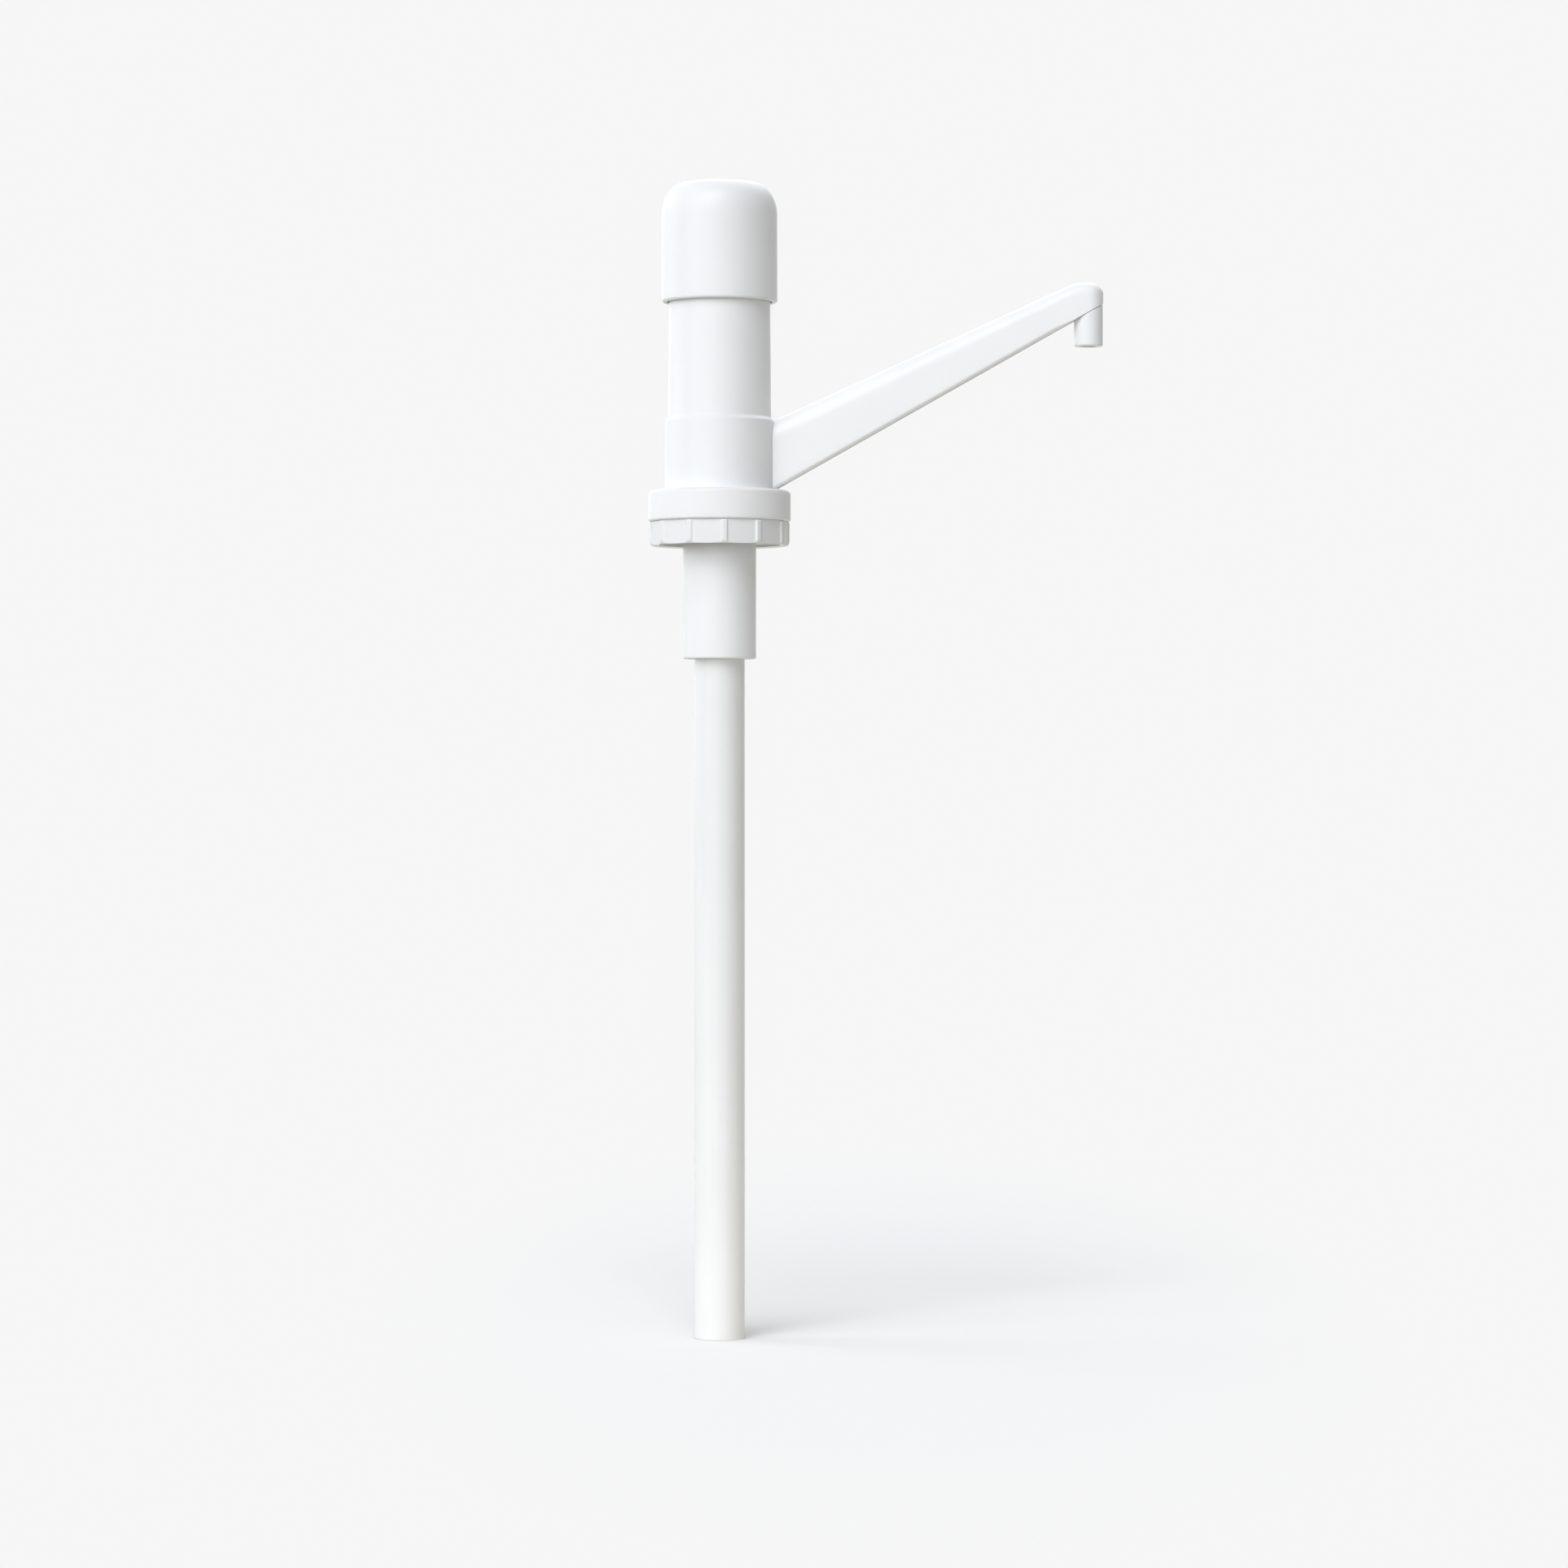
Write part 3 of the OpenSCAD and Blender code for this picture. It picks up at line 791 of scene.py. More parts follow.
@dataclass
class GuideSleeve:
    """The fixed sleeve that the cap runs on, and the return spring inside it."""

    inside: float = 16.4
    foot: float = 28.0
    spigot: float = 17.9
    seat: float = 38.5
    radius: float = 19.1
    draft: float = 0.4
    top: float = 86.4
    coil: float = 14.9
    wire: float = 1.4
    coils: int = 14
    spring_top: float = 122.0
    end_pitch: float = 2.0
    stroke: float = 30.0
    foot_edge: float = 0.3
    top_edge: float = 0.8
    mouth_edge: float = 0.4
    coil_steps: int = 28
    wire_points: int = 10

    def sleeve(self) -> Shell:
        """The drafted sleeve with its spigot, turned from one section."""
        upper = self.radius - self.draft
        return revolve(fillet(np.array([
            [self.inside, self.foot, self.foot_edge], [self.spigot, self.foot, self.foot_edge],
            [self.spigot, self.seat, 0], [self.radius, self.seat, 0],
            [upper, self.top, self.top_edge], [self.inside, self.top, self.mouth_edge]]), True))

    def spring(self) -> Shell:
        """The spring: a round section carried along its coils and drawn in to a point at the ends.

        After u coils the wire's centre is at radius coil, angle 2 pi u and a height that rises by
        end_pitch over the first and the last coil and evenly between them.

        Returns:
            The closed shell of the wire.
        """
        length = self.spring_top - self.foot - self.wire
        u = np.linspace(0, self.coils, self.coil_steps * self.coils + 1)
        rise = np.interp(u, [0, 1, self.coils - 1, self.coils],
                         [0, self.end_pitch, length - self.end_pitch, length])
        u, rise = (np.concatenate([v[:1], v, v[-1:]])[:, None] for v in (u, rise))
        half = np.full_like(u, self.wire / 2)
        half[[0, -1]] = 0
        a = np.arange(self.wire_points) * (2 * np.pi / self.wire_points)
        r, t = self.coil + half * np.cos(a), 2 * np.pi * u
        z = self.foot + self.wire / 2 + rise + half * np.sin(a)
        return grid_shell(r * np.cos(t), r * np.sin(t), z, False, True)

    def build(self) -> None:
        """Makes the sleeve, and the spring with a mesh of its own."""
        Piece("sleeve_tube", "guide_sleeve", [self.sleeve()], SLEEVE_WHITE, Slot.WHITE,
              Body.PUMP).make()
        spring = Piece("spring_wire", "return_spring", [self.spring()], WIRE_STEEL, Slot.SPRING,
                       Body.PUMP).make()
        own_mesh(spring)


@dataclass
class SpoutHousing:
    """The housing: skirt over the nut, body with its shoulder, cylinder socket and chamber."""

    socket: float = 13.55
    under: float = 7.5
    groove: float = 15.0
    groove_low: float = 9.7
    groove_high: float = 11.7
    cylinder_top: float = 14.0
    chamber: float = 16.0
    ledge: float = 24.0
    inside: float = 17.95
    shoulder: Shoulder = Shoulder()
    toe: float = 0.7
    skirt_top: float = 11.1
    skirt: float = 26.29
    skirt_round: float = 1.5
    skirt_low: float = -0.3
    skirt_inside: float = 24.2
    skirt_roof: float = 9.1
    port: float = 4.2
    port_z: float = 19.2
    port_bore: float = 5.3
    port_span: Span = (10.0, 18.6)
    port_bore_span: Span = (18.5, 26.0)
    edge: float = 0.3
    mouth_edge: float = 0.2
    lip_edge: float = 0.8
    lip_inner_edge: float = 0.4
    roof_edge: float = 0.8
    root_edge: float = 0.5
    toe_steps: int = 6
    skirt_steps: int = 14

    def profile(self) -> Array:
        """The housing's section: socket, chamber, shoulder, body, and the skirt over the nut.

        Returns:
            Lines of (r, z) of one closed line.
        """
        body = self.shoulder.body
        inner = np.array([
            [body, self.under, self.edge], [self.socket, self.under, self.edge],
            [self.socket, self.groove_low, 0], [self.groove, self.groove_low, 0],
            [self.groove, self.groove_high, 0], [self.socket, self.groove_high, 0],
            [self.socket, self.cylinder_top, 0], [self.chamber, self.cylinder_top, 0],
            [self.chamber, self.ledge, 0], [self.inside, self.ledge, 0],
            [self.inside, self.shoulder.top, self.mouth_edge]])
        toe = arc(body + self.toe, self.skirt_top + self.toe, self.toe, self.toe, 180, 270,
                  self.toe_steps)
        skirt = arc(self.skirt - self.skirt_round, self.skirt_top - self.skirt_round,
                    self.skirt_round, self.skirt_round, 90, 0, self.skirt_steps)
        lip = np.array([[self.skirt, self.skirt_low, self.lip_edge],
                        [self.skirt_inside, self.skirt_low, self.lip_inner_edge],
                        [self.skirt_inside, self.skirt_roof, self.roof_edge],
                        [body, self.skirt_roof, self.root_edge]])
        return fillet(np.concatenate([inner, self.shoulder.profile(), toe, skirt, lip]), True)

    def build(self) -> None:
        """Makes the housing and drills its outlet port."""
        Piece("housing_body", "spout_housing", [revolve(self.profile())], BODY_WHITE, Slot.WHITE,
              Body.PUMP,
              cutters=[rod_along_x(self.port, self.port_span, self.port_z),
                       rod_along_x(self.port_bore, self.port_bore_span, self.port_z)]).make()
        dress("spout_o_ring", RUBBER_GREY)
        dress("cylinder_o_ring", RUBBER_GREY)
        dress("barrel_gasket", RUBBER_GREY)


@dataclass
class SpoutArm:
    """The slanted arm, the strip that closes it from below, and the nozzle."""

    width: float = 11.0
    wall: float = 1.4
    edge: float = 1.6
    tip_edge: float = 0.15
    reach: float = 136.3
    knee: float = 131.9
    slope_deg: float = 29.5
    shoulder: Shoulder = Shoulder()
    body: float = 20.2
    saddle: float = 22.4
    saddle_step: float = 0.3
    under: float = 11.3
    root_h: float = 25.9
    tip_h: float = 11.2
    crown_root: float = 8.0
    crown_tip: float = 4.5
    root: float = 12.2
    seat: float = 11.15
    gap: float = 0.05
    spigot: float = 4.15
    spigot_bore: float = 2.9
    spigot_x: float = 15.5
    port_z: float = 19.2
    strip_t: float = 1.8
    strip_sink: float = 0.3
    nozzle: float = 5.3
    nozzle_bore: float = 3.0
    nozzle_drop: float = 12.5
    plug: float = 4.05
    groove: float = 0.25
    groove_deep: float = 0.4
    knee_soft: float = 0.5
    edge_fades_at: float = 131.0
    edge_fades_over: float = 7.0
    even_rows: tuple[float, float, int] = (24.0, 116.0, 24)
    close_from: float = 118.0
    close_rows: int = 28
    crown_points: int = 15
    side_points: int = 9
    edge_points: int = 9
    inner_points: int = 6
    roof_points: int = 11
    tip_points: int = 41
    saddle_points: int = 17
    fit_passes: int = 4
    strip_clear: float = 0.1
    strip_edge: float = 0.35
    strip_rows: int = 61
    nozzle_around: int = 96
    bore_edge: float = 0.5
    mouth_edge: float = 0.6
    join_edge: float = 0.15
    plug_h: float = 4.0
    plug_edge: float = 0.3
    lean_from: float = 3.0
    lean_to: float = 1.0
    lean_inside: float = 0.1
    spigot_root: float = 0.6
    spigot_edge: float = 0.3
    spigot_bore_edge: float = 0.2
    drill_span: Span = (18.0, 24.5)

    def underside(self, x: Array) -> Array:
        """Height of the underside at x, a straight line."""
        return self.under + math.tan(math.radians(self.slope_deg)) * (np.asarray(x) - self.body)

    def ridge(self, x: Array) -> Array:
        """Height of the top at x: the lower of the slope and the level tip, softly joined.

        The lower of p and q is (p + q - sqrt((p - q)^2 + k^2)) / 2, where k makes it soft.

        Args:
            x: Places along the arm.

        Returns:
            The heights.
        """
        high = float(self.underside(self.reach)) + self.tip_h
        low = self.under + self.root_h
        line = low + (high - low) * (x - self.body) / (self.knee - self.body)
        return (line + high - np.sqrt((line - high) ** 2 + self.knee_soft ** 2)) / 2

    def crown(self, x: Array) -> Array:
        """Height of the rounded top at x, which shrinks evenly to the tip."""
        return np.interp(x, [self.root, self.knee], [self.crown_root, self.crown_tip])

    def channel(self) -> Shell:
        """The arm: half a section carried along one side, round the tip, back along the other side
        and across the saddle on the housing.

        The half section runs from the ridge over a quarter ellipse, down the side, round the lower
        edge and up inside to the inner ridge. Each of its points has a distance d from the middle
        plane, and a height z = s A + c B + u C + D from the heights s of the side, c of the crown
        and u of the underside at its place. The root's points are then drawn in to the shoulder.

        Returns:
            The closed shell of the arm.
        """
        half = self.width / 2
        a = np.linspace(0, np.pi / 2, self.crown_points)
        side = np.linspace(0, 1, self.side_points)[1:]
        b = np.linspace(0, np.pi / 2, self.edge_points)[1:]
        inner = np.linspace(0, 1, self.inner_points)
        back = np.linspace(np.pi / 2, 0, self.roof_points)[1:]
        ends = np.concatenate([np.linspace(*self.even_rows),
                               np.linspace(self.close_from, self.reach, self.close_rows)])
        tip = np.radians(np.linspace(90, -90, self.tip_points))[1:-1]
        across = np.linspace(-1, 1, self.saddle_points)[1:-1]
        outer_n = len(a) + len(side) + len(b)
        inner_n = len(inner) + len(back)
        start = np.r_[np.full(outer_n, self.body + self.gap), np.full(inner_n, self.saddle)]
        # the lower edge is sharp at the tip, where the nozzle joins on
        fade = np.clip((self.edge_fades_at - ends) / self.edge_fades_over, 0, 1)
        along = np.r_[self.edge, self.tip_edge + (self.edge - self.tip_edge) * fade]
        e = np.r_[along, np.full(len(tip), self.tip_edge), along[::-1],
                  np.full(len(across), self.edge)][:, None]
        lower = np.maximum(half - e + e * np.cos(b), half - self.wall)
        flat = np.ones_like(e)
        d = np.concatenate([flat * half * np.sin(a), flat * half + 0 * side, lower,
                            flat * (half - self.wall) + 0 * inner,
                            flat * (half - self.wall) * np.sin(back)], axis=1)
        part_s = np.r_[np.ones(len(a)), 1 - side, 0 * b, inner, np.ones(len(back))]
        part_c = np.r_[np.cos(a), 0 * side, 0 * b, 0 * inner, np.cos(back)]
        part_u = np.r_[0 * a, side, 1 + 0 * b, 1 - inner, 0 * back]
        fixed = np.concatenate([flat * 0 * a, e * side, e - e * np.sin(b), flat * 0 * inner,
                                -flat * self.wall * np.cos(back)], axis=1)
        n = len(along)
        first = d[:1]
        foot = np.sqrt(start ** 2 - first ** 2)
        rows = np.repeat(ends[:, None], d.shape[1], axis=1)
        forth = np.concatenate([foot, rows])
        round_x = self.reach + d[n:n + len(tip)] * np.cos(tip)[:, None]
        round_y = d[n:n + len(tip)] * np.sin(tip)[:, None]
        root_y = first * across[:, None]
        root_x = np.sqrt(start ** 2 - root_y ** 2)
        x = np.concatenate([forth, round_x, forth[::-1], root_x])
        y = np.concatenate([d[:n], round_y, -d[n + len(tip):2 * n + len(tip)], root_y])

        def heights() -> Array:
            """The height of every point, from where it is along the arm.

            Returns:
                Heights on the same grid as x and y.
            """
            on_arm = np.minimum(x, self.reach)
            crown = self.crown(on_arm)
            low = np.maximum(self.underside(x), self.seat)
            return (self.ridge(on_arm) - crown) * part_s + crown * part_c + low * part_u + fixed

        root_rows = np.r_[0, np.arange(2 * n + len(tip) - 1, len(x))]
        fixed[root_rows, outer_n] += self.saddle_step
        at_root = np.ix_(root_rows, np.arange(outer_n))
        for _ in range(self.fit_passes):
            fit = self.shoulder.radius(heights()[at_root]) + self.gap
            x[at_root] = np.sqrt(fit ** 2 - y[at_root] ** 2)
        return grid_shell(x, y, heights(), True, False)

    def strip(self) -> Shell:
        """The closing strip: a rounded section carried along the underside from the saddle to the
        nozzle's plug, with its ends drawn in to their middles.

        Returns:
            The closed shell of the strip.
        """
        half, edge = self.width / 2 - self.wall - self.strip_clear, self.strip_edge
        section = fillet(np.array([[-half, 0, edge], [half, 0, edge], [half, self.strip_t, edge],
                                   [-half, self.strip_t, edge]]), True, steps=4)
        share = np.r_[0, np.ones(self.strip_rows), 0][:, None]
        s = np.r_[0, np.linspace(0, 1, self.strip_rows), 1][:, None]
        y = section[:, 0] * share
        up = self.strip_t / 2 + (section[:, 1] - self.strip_t / 2) * share
        start = np.sqrt((self.saddle + self.gap) ** 2 - y ** 2)
        end = self.reach - np.sqrt((self.plug + self.gap) ** 2 - y ** 2)
        x = start + (end - start) * s
        lift = (self.strip_sink + up) / math.cos(math.radians(self.slope_deg))
        return grid_shell(x, y, self.underside(x) + lift, False, True)

    def spout_end(self) -> Shell:
        """The nozzle: a turned section whose shoulder leans with the arm's underside.

        A section point at radius r, height z and lean k is raised by k r cos t times the slope.

        Returns:
            The closed shell of the nozzle.
        """
        foot = float(self.underside(self.reach))
        low = foot - self.nozzle_drop
        join = foot - self.groove
        rows = fillet(np.array([
            [self.nozzle_bore, low, self.bore_edge], [self.nozzle, low, self.mouth_edge],
            [self.nozzle, join, self.join_edge], [self.nozzle - self.groove_deep, join, 0],
            [self.nozzle - self.groove_deep, foot - self.gap, 0],
            [self.plug, foot - self.gap, 0], [self.plug, foot + self.plug_h, self.plug_edge],
            [self.nozzle_bore, foot + self.plug_h, self.plug_edge]]), True)
        t = np.arange(self.nozzle_around) * (2 * np.pi / self.nozzle_around)
        r, z = rows[:, :1], rows[:, 1:]
        leans = (z > low + self.lean_from) & (z < join + self.lean_to)
        lean = np.where(leans & (r > self.plug - self.lean_inside), 1.0, 0.0)
        tilt = math.tan(math.radians(self.slope_deg))
        return grid_shell(self.reach + r * np.cos(t), r * np.sin(t),
                          z + lean * tilt * r * np.cos(t), True, True)

    def build(self) -> None:
        """Makes the arm with its spigot, the strip and the nozzle."""
        root = self.body + self.spigot_root
        tube = fillet(np.array([
            [self.spigot_bore, self.spigot_x, self.spigot_bore_edge],
            [self.spigot, self.spigot_x, self.spigot_edge], [self.spigot, root, 0],
            [self.spigot_bore, root, 0]]), True)
        spigot = turned_round_x(revolve(tube, around=AROUND_SMALL), self.port_z)
        Piece("arm_channel", "spout_arm", [self.channel(), spigot], ARM_WHITE, Slot.WHITE,
              Body.PUMP,
              cutters=[rod_along_x(self.spigot_bore, self.drill_span, self.port_z)]).make()
        Piece("arm_closing_strip", "spout_plate", [self.strip()], ARM_WHITE, Slot.WHITE,
              Body.PUMP).make()
        Piece("outlet_nozzle", "nozzle", [self.spout_end()], BODY_WHITE, Slot.WHITE,
              Body.PUMP).make()


@dataclass
class UnionNut:
    """The nut with its flat faces, corner ribs and the thread for the canister's neck."""

    bottom: float = -9.5
    grip: float = 25.9
    faces: int = 12
    crown: float = 0.3
    rib_h: float = 0.4
    rib_top: float = 1.2
    rib_foot: float = 2.9
    first_rib_deg: float = -85.1
    grip_top: float = -0.4
    round_low: float = 2.0
    hoop: float = 23.8
    top: float = 7.25
    hole: float = 15.0
    under: float = 4.75
    bore: float = 22.4
    pitch: float = 4.0
    thread: float = 1.1
    ridge_gain: float = 1.6
    ridge_slope: float = 5.2
    fade_low: float = 0.9
    fade_high: float = 1.2
    fade_over: float = 1.2
    grip_edge: float = 0.7
    hoop_root: float = 0.2
    hoop_edge: float = 0.4
    hole_edge: float = 0.3
    soft_sq: float = 0.004
    round_from_deg: float = 300.0
    round_steps: int = 6
    wall_low: float = 0.7
    wall_rows: int = 76
    rib_half: float = 1.5
    rib_points: int = 31
    face_points: int = 12
    grip_clear: float = 0.2
    grip_margin: float = 0.01
    nearly: float = 0.001

    def shell(self) -> Shell:
        """The nut on a grid of section points and turns.

        Its outside is the softer lesser of the turned section's radius and of the grip's radius,
        which is apothem / cos(t from the face's middle) on a face, less a share that keeps the face
        slightly round, and rises smoothly to a rib at each corner. Its bore carries a rounded
        thread ridge, which climbs one pitch a turn and fades at both ends. Its foot slopes from the
        bore's last row out to the lower round.

        Returns:
            The closed shell of the nut.
        """
        outside = np.concatenate([
            arc(self.grip - self.round_low, self.bottom + self.round_low, self.round_low,
                self.round_low, self.round_from_deg, 360, self.round_steps),
            np.array([[self.grip, self.grip_top, self.grip_edge],
                      [self.hoop, self.grip_top, self.hoop_root],
                      [self.hoop, self.top, self.hoop_edge], [self.hole, self.top, self.hole_edge],
                      [self.hole, self.under, self.hole_edge]])])
        wall_z = np.linspace(self.under, self.bottom + self.wall_low, self.wall_rows)
        wall = np.stack([np.full_like(wall_z, self.bore), wall_z], axis=-1)
        rows = np.concatenate([fillet(outside, False), wall])
        step = 2 * np.pi / self.faces
        near = np.linspace(-self.rib_half, self.rib_half, self.rib_points) / self.grip
        one = np.r_[near, np.linspace(near[-1], step + near[0], self.face_points)[1:-1]]
        turns = np.arange(self.faces)[:, None] * step
        t = (math.radians(self.first_rib_deg) + turns + one).ravel()
        off = np.tile(np.abs(np.where(one > step / 2, one - step, one)), self.faces)
        hollow = (1 - self.crown) * (1 - math.cos(step / 2) / np.cos(step / 2 - off))
        flat = (self.grip - self.rib_h) * (1 - hollow)
        rise = np.clip((self.rib_foot / 2 - off * self.grip)
                       / ((self.rib_foot - self.rib_top) / 2), 0, 1)
        side = flat + (self.grip - flat) * rise * rise * (3 - 2 * rise)
        r, z = rows[:, :1], rows[:, 1:]
        grip = (r + side - np.sqrt((r - side) ** 2 + self.soft_sq)) / 2
        on_grip = (r > self.hoop + self.grip_clear) & (z < self.grip_top + self.grip_margin)
        turn = np.mod((z - self.bottom) / self.pitch - t / (2 * np.pi), 1)
        ridge = np.clip(self.ridge_gain - self.ridge_slope * np.abs(turn - 0.5), 0, 1)
        ridge = ridge * ridge * (3 - 2 * ridge)
        fade = (np.clip((z - self.bottom - self.fade_low) / self.fade_over, 0, 1)
                * np.clip((self.under - self.fade_high - z) / self.fade_over, 0, 1))
        on_bore = (np.abs(r - self.bore) < self.nearly) & (z < self.under)
        r = np.where(on_grip, grip, r - on_bore * self.thread * ridge * fade)
        return grid_shell(r * np.cos(t), r * np.sin(t), z + 0 * t, True, True)

    def build(self) -> None:
        """Makes the nut."""
        Piece("nut_ring", "union_nut", [self.shell()], NUT_WHITE, Slot.WHITE, Body.NUT,
              sharp_deg=50).make()


@dataclass
class SuctionSide:
    """The pump cylinder with its flange ring, the neck seal and the dip tube."""

    radius: float = 13.5
    bore: float = 12.0
    top: float = 14.0
    bottom: float = -51.0
    plate_top: float = -38.92
    plate_low: float = -42.3
    seat: float = 2.1
    seat_low: float = -41.42
    ball_way: float = 4.6
    socket: float = 9.35
    relief_in: float = 10.7
    relief_out: float = 12.1
    relief_top: float = -44.3
    flange: float = 21.0
    flange_low: float = 2.0
    flange_top: float = 4.5
    seal_in: float = 15.5
    seal_out: float = 21.5
    tube: float = 9.3
    tube_bore: float = 7.9
    tube_foot: float = -302.0
    edge: float = 0.3
    relief_edge: float = 0.4
    rim_edge: float = 0.6
    bore_root: float = 0.4
    seal_edge: float = 0.4
    press_gap: float = 0.05
    vent_r: float = 0.5
    vent_off: float = 1.1
    vent_over: float = 1.0
    vent_around: int = 24
    tube_foot_edge: float = 0.35
    tube_foot_in: float = 0.25
    tube_top_in: float = 0.2

    def cylinder(self) -> Shell:
        """The cylinder: bore, valve seat, tube socket and the relief under its rim."""
        return revolve(fillet(np.array([
            [self.seat, self.plate_low, 0], [self.socket, self.plate_low, 0],
            [self.socket, self.bottom, self.edge], [self.relief_in, self.bottom, self.edge],
            [self.relief_in, self.relief_top, self.edge],
            [self.relief_out, self.relief_top, self.edge],
            [self.relief_out, self.bottom, self.relief_edge],
            [self.radius, self.bottom, self.rim_edge], [self.radius, self.top, self.edge],
            [self.bore, self.top, self.edge], [self.bore, self.plate_top, self.bore_root],
            [self.ball_way, self.plate_top, 0], [self.seat, self.seat_low, 0]]), True))

    def ring(self, inside: float, outside: float, low: float, high: float, edge: float) -> Shell:
        """A ring of rounded rectangular section."""
        return revolve(fillet(np.array([[inside, low, edge], [outside, low, edge],
                                        [outside, high, edge], [inside, high, edge]]), True))

    def vent(self) -> Shell:
        """The air vent through the flange ring: an upright rod beside the cylinder.

        Returns:
            The closed shell of the rod.
        """
        low, high = self.flange_low - self.vent_over, self.flange_top + self.vent_over
        section = np.array([[0, low], [self.vent_r, low], [self.vent_r, high], [0, high]])
        return revolve(section, False, -self.radius - self.vent_off, self.vent_around)

    def build(self) -> None:
        """Makes the four pieces."""
        Piece("cylinder_barrel", "pump_cylinder", [self.cylinder()], BODY_WHITE, Slot.WHITE,
              Body.PUMP).make()
        Piece("flange_ring", "cylinder_flange",
              [self.ring(self.radius + self.press_gap, self.flange, self.flange_low,
                         self.flange_top, self.edge)],
              INNER_WHITE, Slot.WHITE, Body.PUMP, cutters=[self.vent()]).make()
        Piece("neck_seal", "neck_gasket",
              [self.ring(self.seal_in, self.seal_out, 0.0, self.flange_low, self.seal_edge)],
              RUBBER_GREY, Slot.RUBBER, Body.PUMP).make()
        tube = fillet(np.array([
            [self.tube_bore, self.tube_foot, self.tube_foot_in],
            [self.tube, self.tube_foot, self.tube_foot_edge],
            [self.tube, self.plate_low, self.edge],
            [self.tube_bore, self.plate_low, self.tube_top_in]]), True)
        Piece("suction_tube", "dip_tube", [revolve(tube)], TUBE_MILKY, Slot.TUBE, Body.PUMP).make()


@dataclass
class InnerWorks:
    """What works inside the pump and keeps its own solids."""

    white: tuple[str, ...] = ("plunger_stem", "piston_head", "upper_barrel", "barrel_ring",
                              "ball_cage")
    rubber: tuple[str, ...] = ("piston_seal", "upper_seal")
    steel: tuple[str, ...] = ("inlet_ball", "discharge_ball")

    def build(self) -> None:
        """Dresses every inner node."""
        for names, finish in ((self.white, INNER_WHITE), (self.rubber, RUBBER_GREY),
                              (self.steel, BALL_STEEL)):
            for name in names:
                dress(name, finish)


# Studio


@dataclass(frozen=True)
class Lamp:
    """A broad, even light from one direction, as far away as the sun."""

    name: str
    azimuth_deg: float
    elevation_deg: float
    spread_deg: float
    level: float
    spares_floor: bool = False
    colour: Colour = (0.98, 1.0, 1.03)

    def build(self, floor: bpy.types.Object) -> None:
        """Makes the lamp; a white face towards a lamp of level 1 renders as white.

        Args:
            floor: The floor, which a lamp that spares it doesn't light.
        """
        data = bpy.data.lights.new(self.name, "SUN")
        data.energy, data.angle = self.level * math.pi, math.radians(self.spread_deg)
        data.color = self.colour
        lamp = bpy.data.objects.new(self.name, data)
        a, e = math.radians(self.azimuth_deg), math.radians(self.elevation_deg)
        towards = Vector((math.sin(a) * math.cos(e), -math.cos(a) * math.cos(e), math.sin(e)))
        lamp.rotation_mode = "QUATERNION"
        lamp.rotation_quaternion = towards.to_track_quat("Z", "Y")
        bpy.context.scene.collection.objects.link(lamp)
        if self.spares_floor:
            spared = bpy.data.collections.new(self.name + "_spares")
            spared.objects.link(floor)
            spared.collection_objects[0].light_linking.link_state = "EXCLUDE"
            lamp.light_linking.receiver_collection = spared


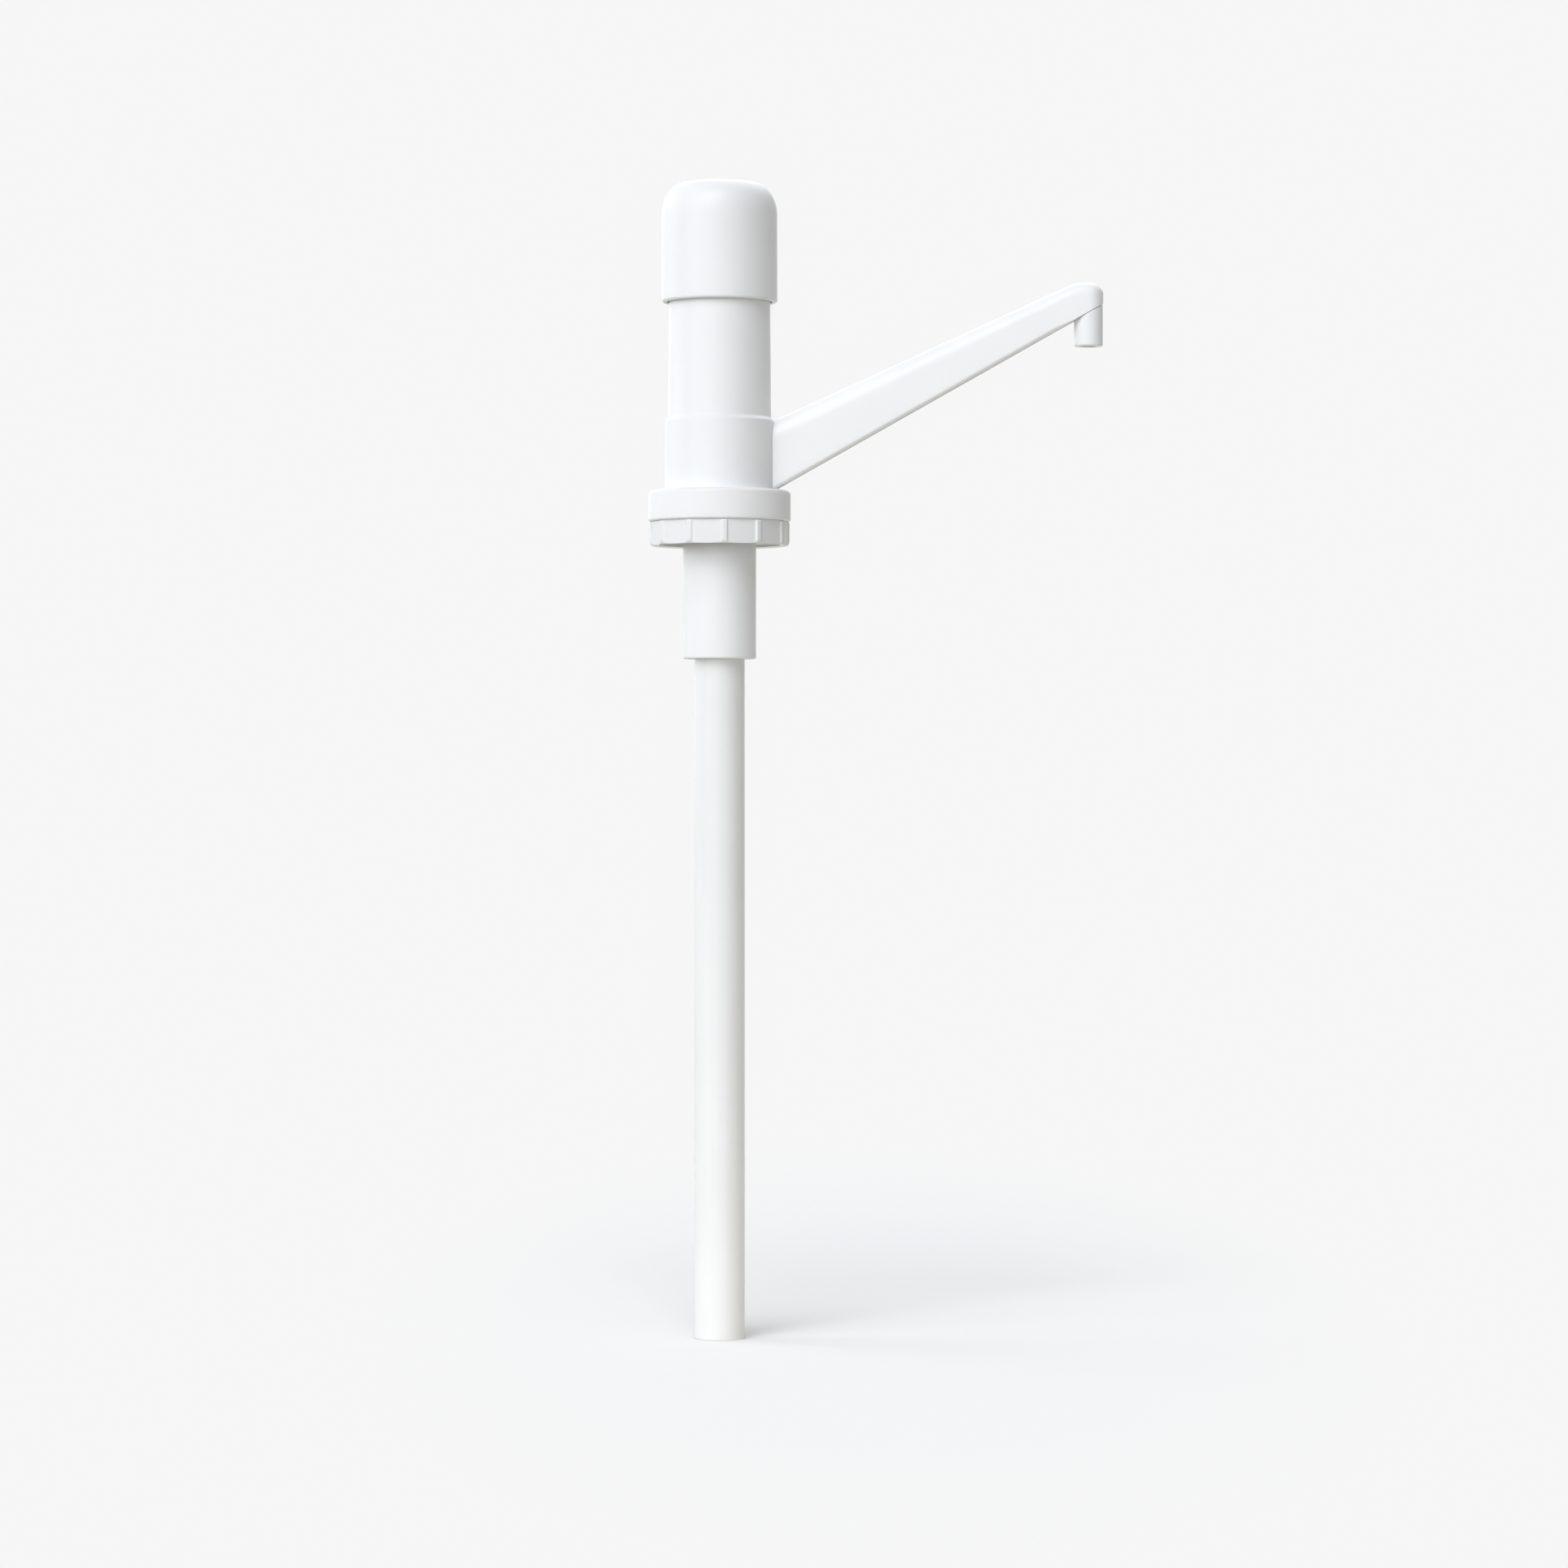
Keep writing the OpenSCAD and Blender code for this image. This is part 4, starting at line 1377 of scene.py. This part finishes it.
@dataclass
class Studio:
    """Pale floor and background, soft lamps and the camera."""

    pale: float = 0.9216
    ambient: float = 0.03
    matt_share: float = 0.78
    # share of the painted contact shadow that darkens the floor round the foot
    contact: float = 1.05
    floor_light: float = 0.543
    shadow_at: Triple = (0.06, 0.2, 0.0)
    shadow_scale: Triple = (5.0, 1.35, 0.0)
    shadow_band: Span = (1.0, 0.35)
    glow_at: Triple = (0.18, -0.03, 0.0)
    glow_near: float = 1.0
    glow_far: float = 0.37
    glow_scale: Triple = (1.0, 1.0, 0.0)
    glow_reach: Span = (0.5, 0.05)
    glow_colour: Colour = (1.03, 1.0, 0.91)
    floor_z: float = -302.0
    floor_half_m: float = 30.0
    floor_grain: float = 0.01
    floor_grain_mm: float = 3.0
    contact_samples: int = 16
    contact_reach_m: float = 0.5
    lamps: tuple[Lamp, ...] = (
        Lamp("left_lamp", -110.0, 10.0, 45.0, 0.31),
        Lamp("front_left_lamp", -36.0, 10.0, 62.0, 0.635),
        Lamp("front_right_lamp", 14.0, 10.0, 45.0, 0.15),
        Lamp("high_lamp", -14.0, 46.0, 38.0, 0.38),
        Lamp("top_lamp", 40.0, 76.0, 40.0, 0.03, spares_floor=True),
        Lamp("back_lamp", 148.0, 53.0, 50.0, 0.33, spares_floor=True),
        Lamp("back_fill_lamp", -168.0, 15.0, 60.0, 0.33, spares_floor=True))
    camera_at: Triple = (23.8, -1800.0, -97.2)
    lens_mm: float = 111.8
    sensor_mm: float = 36.0
    sees_to_m: float = 100.0

    def world(self) -> None:
        """A dim room for light, and the pale background for what looks at it."""
        world = bpy.data.worlds.new("studio")
        bpy.context.scene.world = world
        world.use_nodes = True
        graph = Graph(world.node_tree)
        level = self.ambient + graph.seen() * (self.pale - self.ambient)
        light = graph.node("ShaderNodeBackground", None, {"Color": WHITE, "Strength": level})
        out = world.node_tree.nodes.new("ShaderNodeOutputWorld")
        world.node_tree.links.new(light.socket, out.inputs["Surface"])

    def floor(self) -> bpy.types.Object:
        """A wide floor: it keeps the shadow near the pump and a painted contact shadow round its
        foot, is plain background further off, and throws light back up on the pump most strongly
        from close by.

        Returns:
            The floor.
        """
        side = self.floor_half_m
        grid = np.array([[-side, -side], [side, -side], [side, side], [-side, side]])
        mesh = bpy.data.meshes.new("floor")
        mesh.from_pydata(np.c_[grid, np.full(4, self.floor_z * MM)].tolist(), [], [(0, 1, 2, 3)])
        floor = bpy.data.objects.new("floor", mesh)
        bpy.context.scene.collection.objects.link(floor)
        made = bpy.data.materials.new("floor_pale")
        made.use_nodes = True
        graph = Graph(made.node_tree)
        seen = graph.seen()
        grain = graph.noise(graph.place(), self.floor_grain_mm, 3) - NOISE_MEAN
        matt = graph.ramp(graph.distance(self.shadow_at, self.shadow_scale), *self.shadow_band)
        matt = matt * (self.matt_share + self.floor_grain * grain)
        # painted contact shadow: the floor's colour darkens where the AO node finds the pump close
        # by
        open_air = graph.node("ShaderNodeAmbientOcclusion", {"samples": self.contact_samples},
                              {"Distance": self.contact_reach_m}, "AO")
        painted_contact_shadow = 1 - self.contact + open_air * self.contact
        grey = seen * matt * painted_contact_shadow * (self.pale / self.floor_light)
        colour = graph.node("ShaderNodeCombineColor", None, {0: grey, 1: grey, 2: grey})
        near = graph.ramp(graph.distance(self.glow_at, self.glow_scale), *self.glow_reach)
        glow = self.glow_far + near * (self.glow_near - self.glow_far)
        level = seen * (self.pale - matt * self.pale - glow) + glow
        tint = graph.mix(seen, (*self.glow_colour, 1), WHITE)
        graph.node_output(graph.node("ShaderNodeAddShader", None, {
            0: graph.node("ShaderNodeBsdfDiffuse", None, {"Color": colour}),
            1: graph.node("ShaderNodeEmission", None, {"Color": tint, "Strength": level})}))
        mesh.materials.append(made)
        return floor

    def camera(self) -> None:
        """The camera at the photograph's place: level, in front of the pump."""
        data = bpy.data.cameras.new("camera")
        data.lens, data.sensor_width = self.lens_mm, self.sensor_mm
        data.clip_end = self.sees_to_m
        camera = bpy.data.objects.new("camera", data)
        camera.location = Vector(self.camera_at) * MM
        camera.rotation_euler = (math.pi / 2, 0.0, 0.0)
        bpy.context.scene.collection.objects.link(camera)
        bpy.context.scene.camera = camera

    def build(self) -> None:
        """Sets the whole studio."""
        self.camera()
        self.world()
        floor = self.floor()
        for lamp in self.lamps:
            lamp.build(floor)
        bpy.context.scene.view_settings.view_transform = "Standard"
        LOG.info("studio: %d lamps", len(self.lamps))


def main() -> None:
    """Builds the studio and each sub-assembly in turn."""
    logging.basicConfig(level=logging.INFO, format="%(name)s: %(message)s")
    for part in (Studio(), PushCap(), GuideSleeve(), SpoutHousing(), SpoutArm(), UnionNut(),
                 SuctionSide(), InnerWorks()):
        LOG.info("building %s", type(part).__name__)
        part.build()


if __name__ == "__main__":
    main()
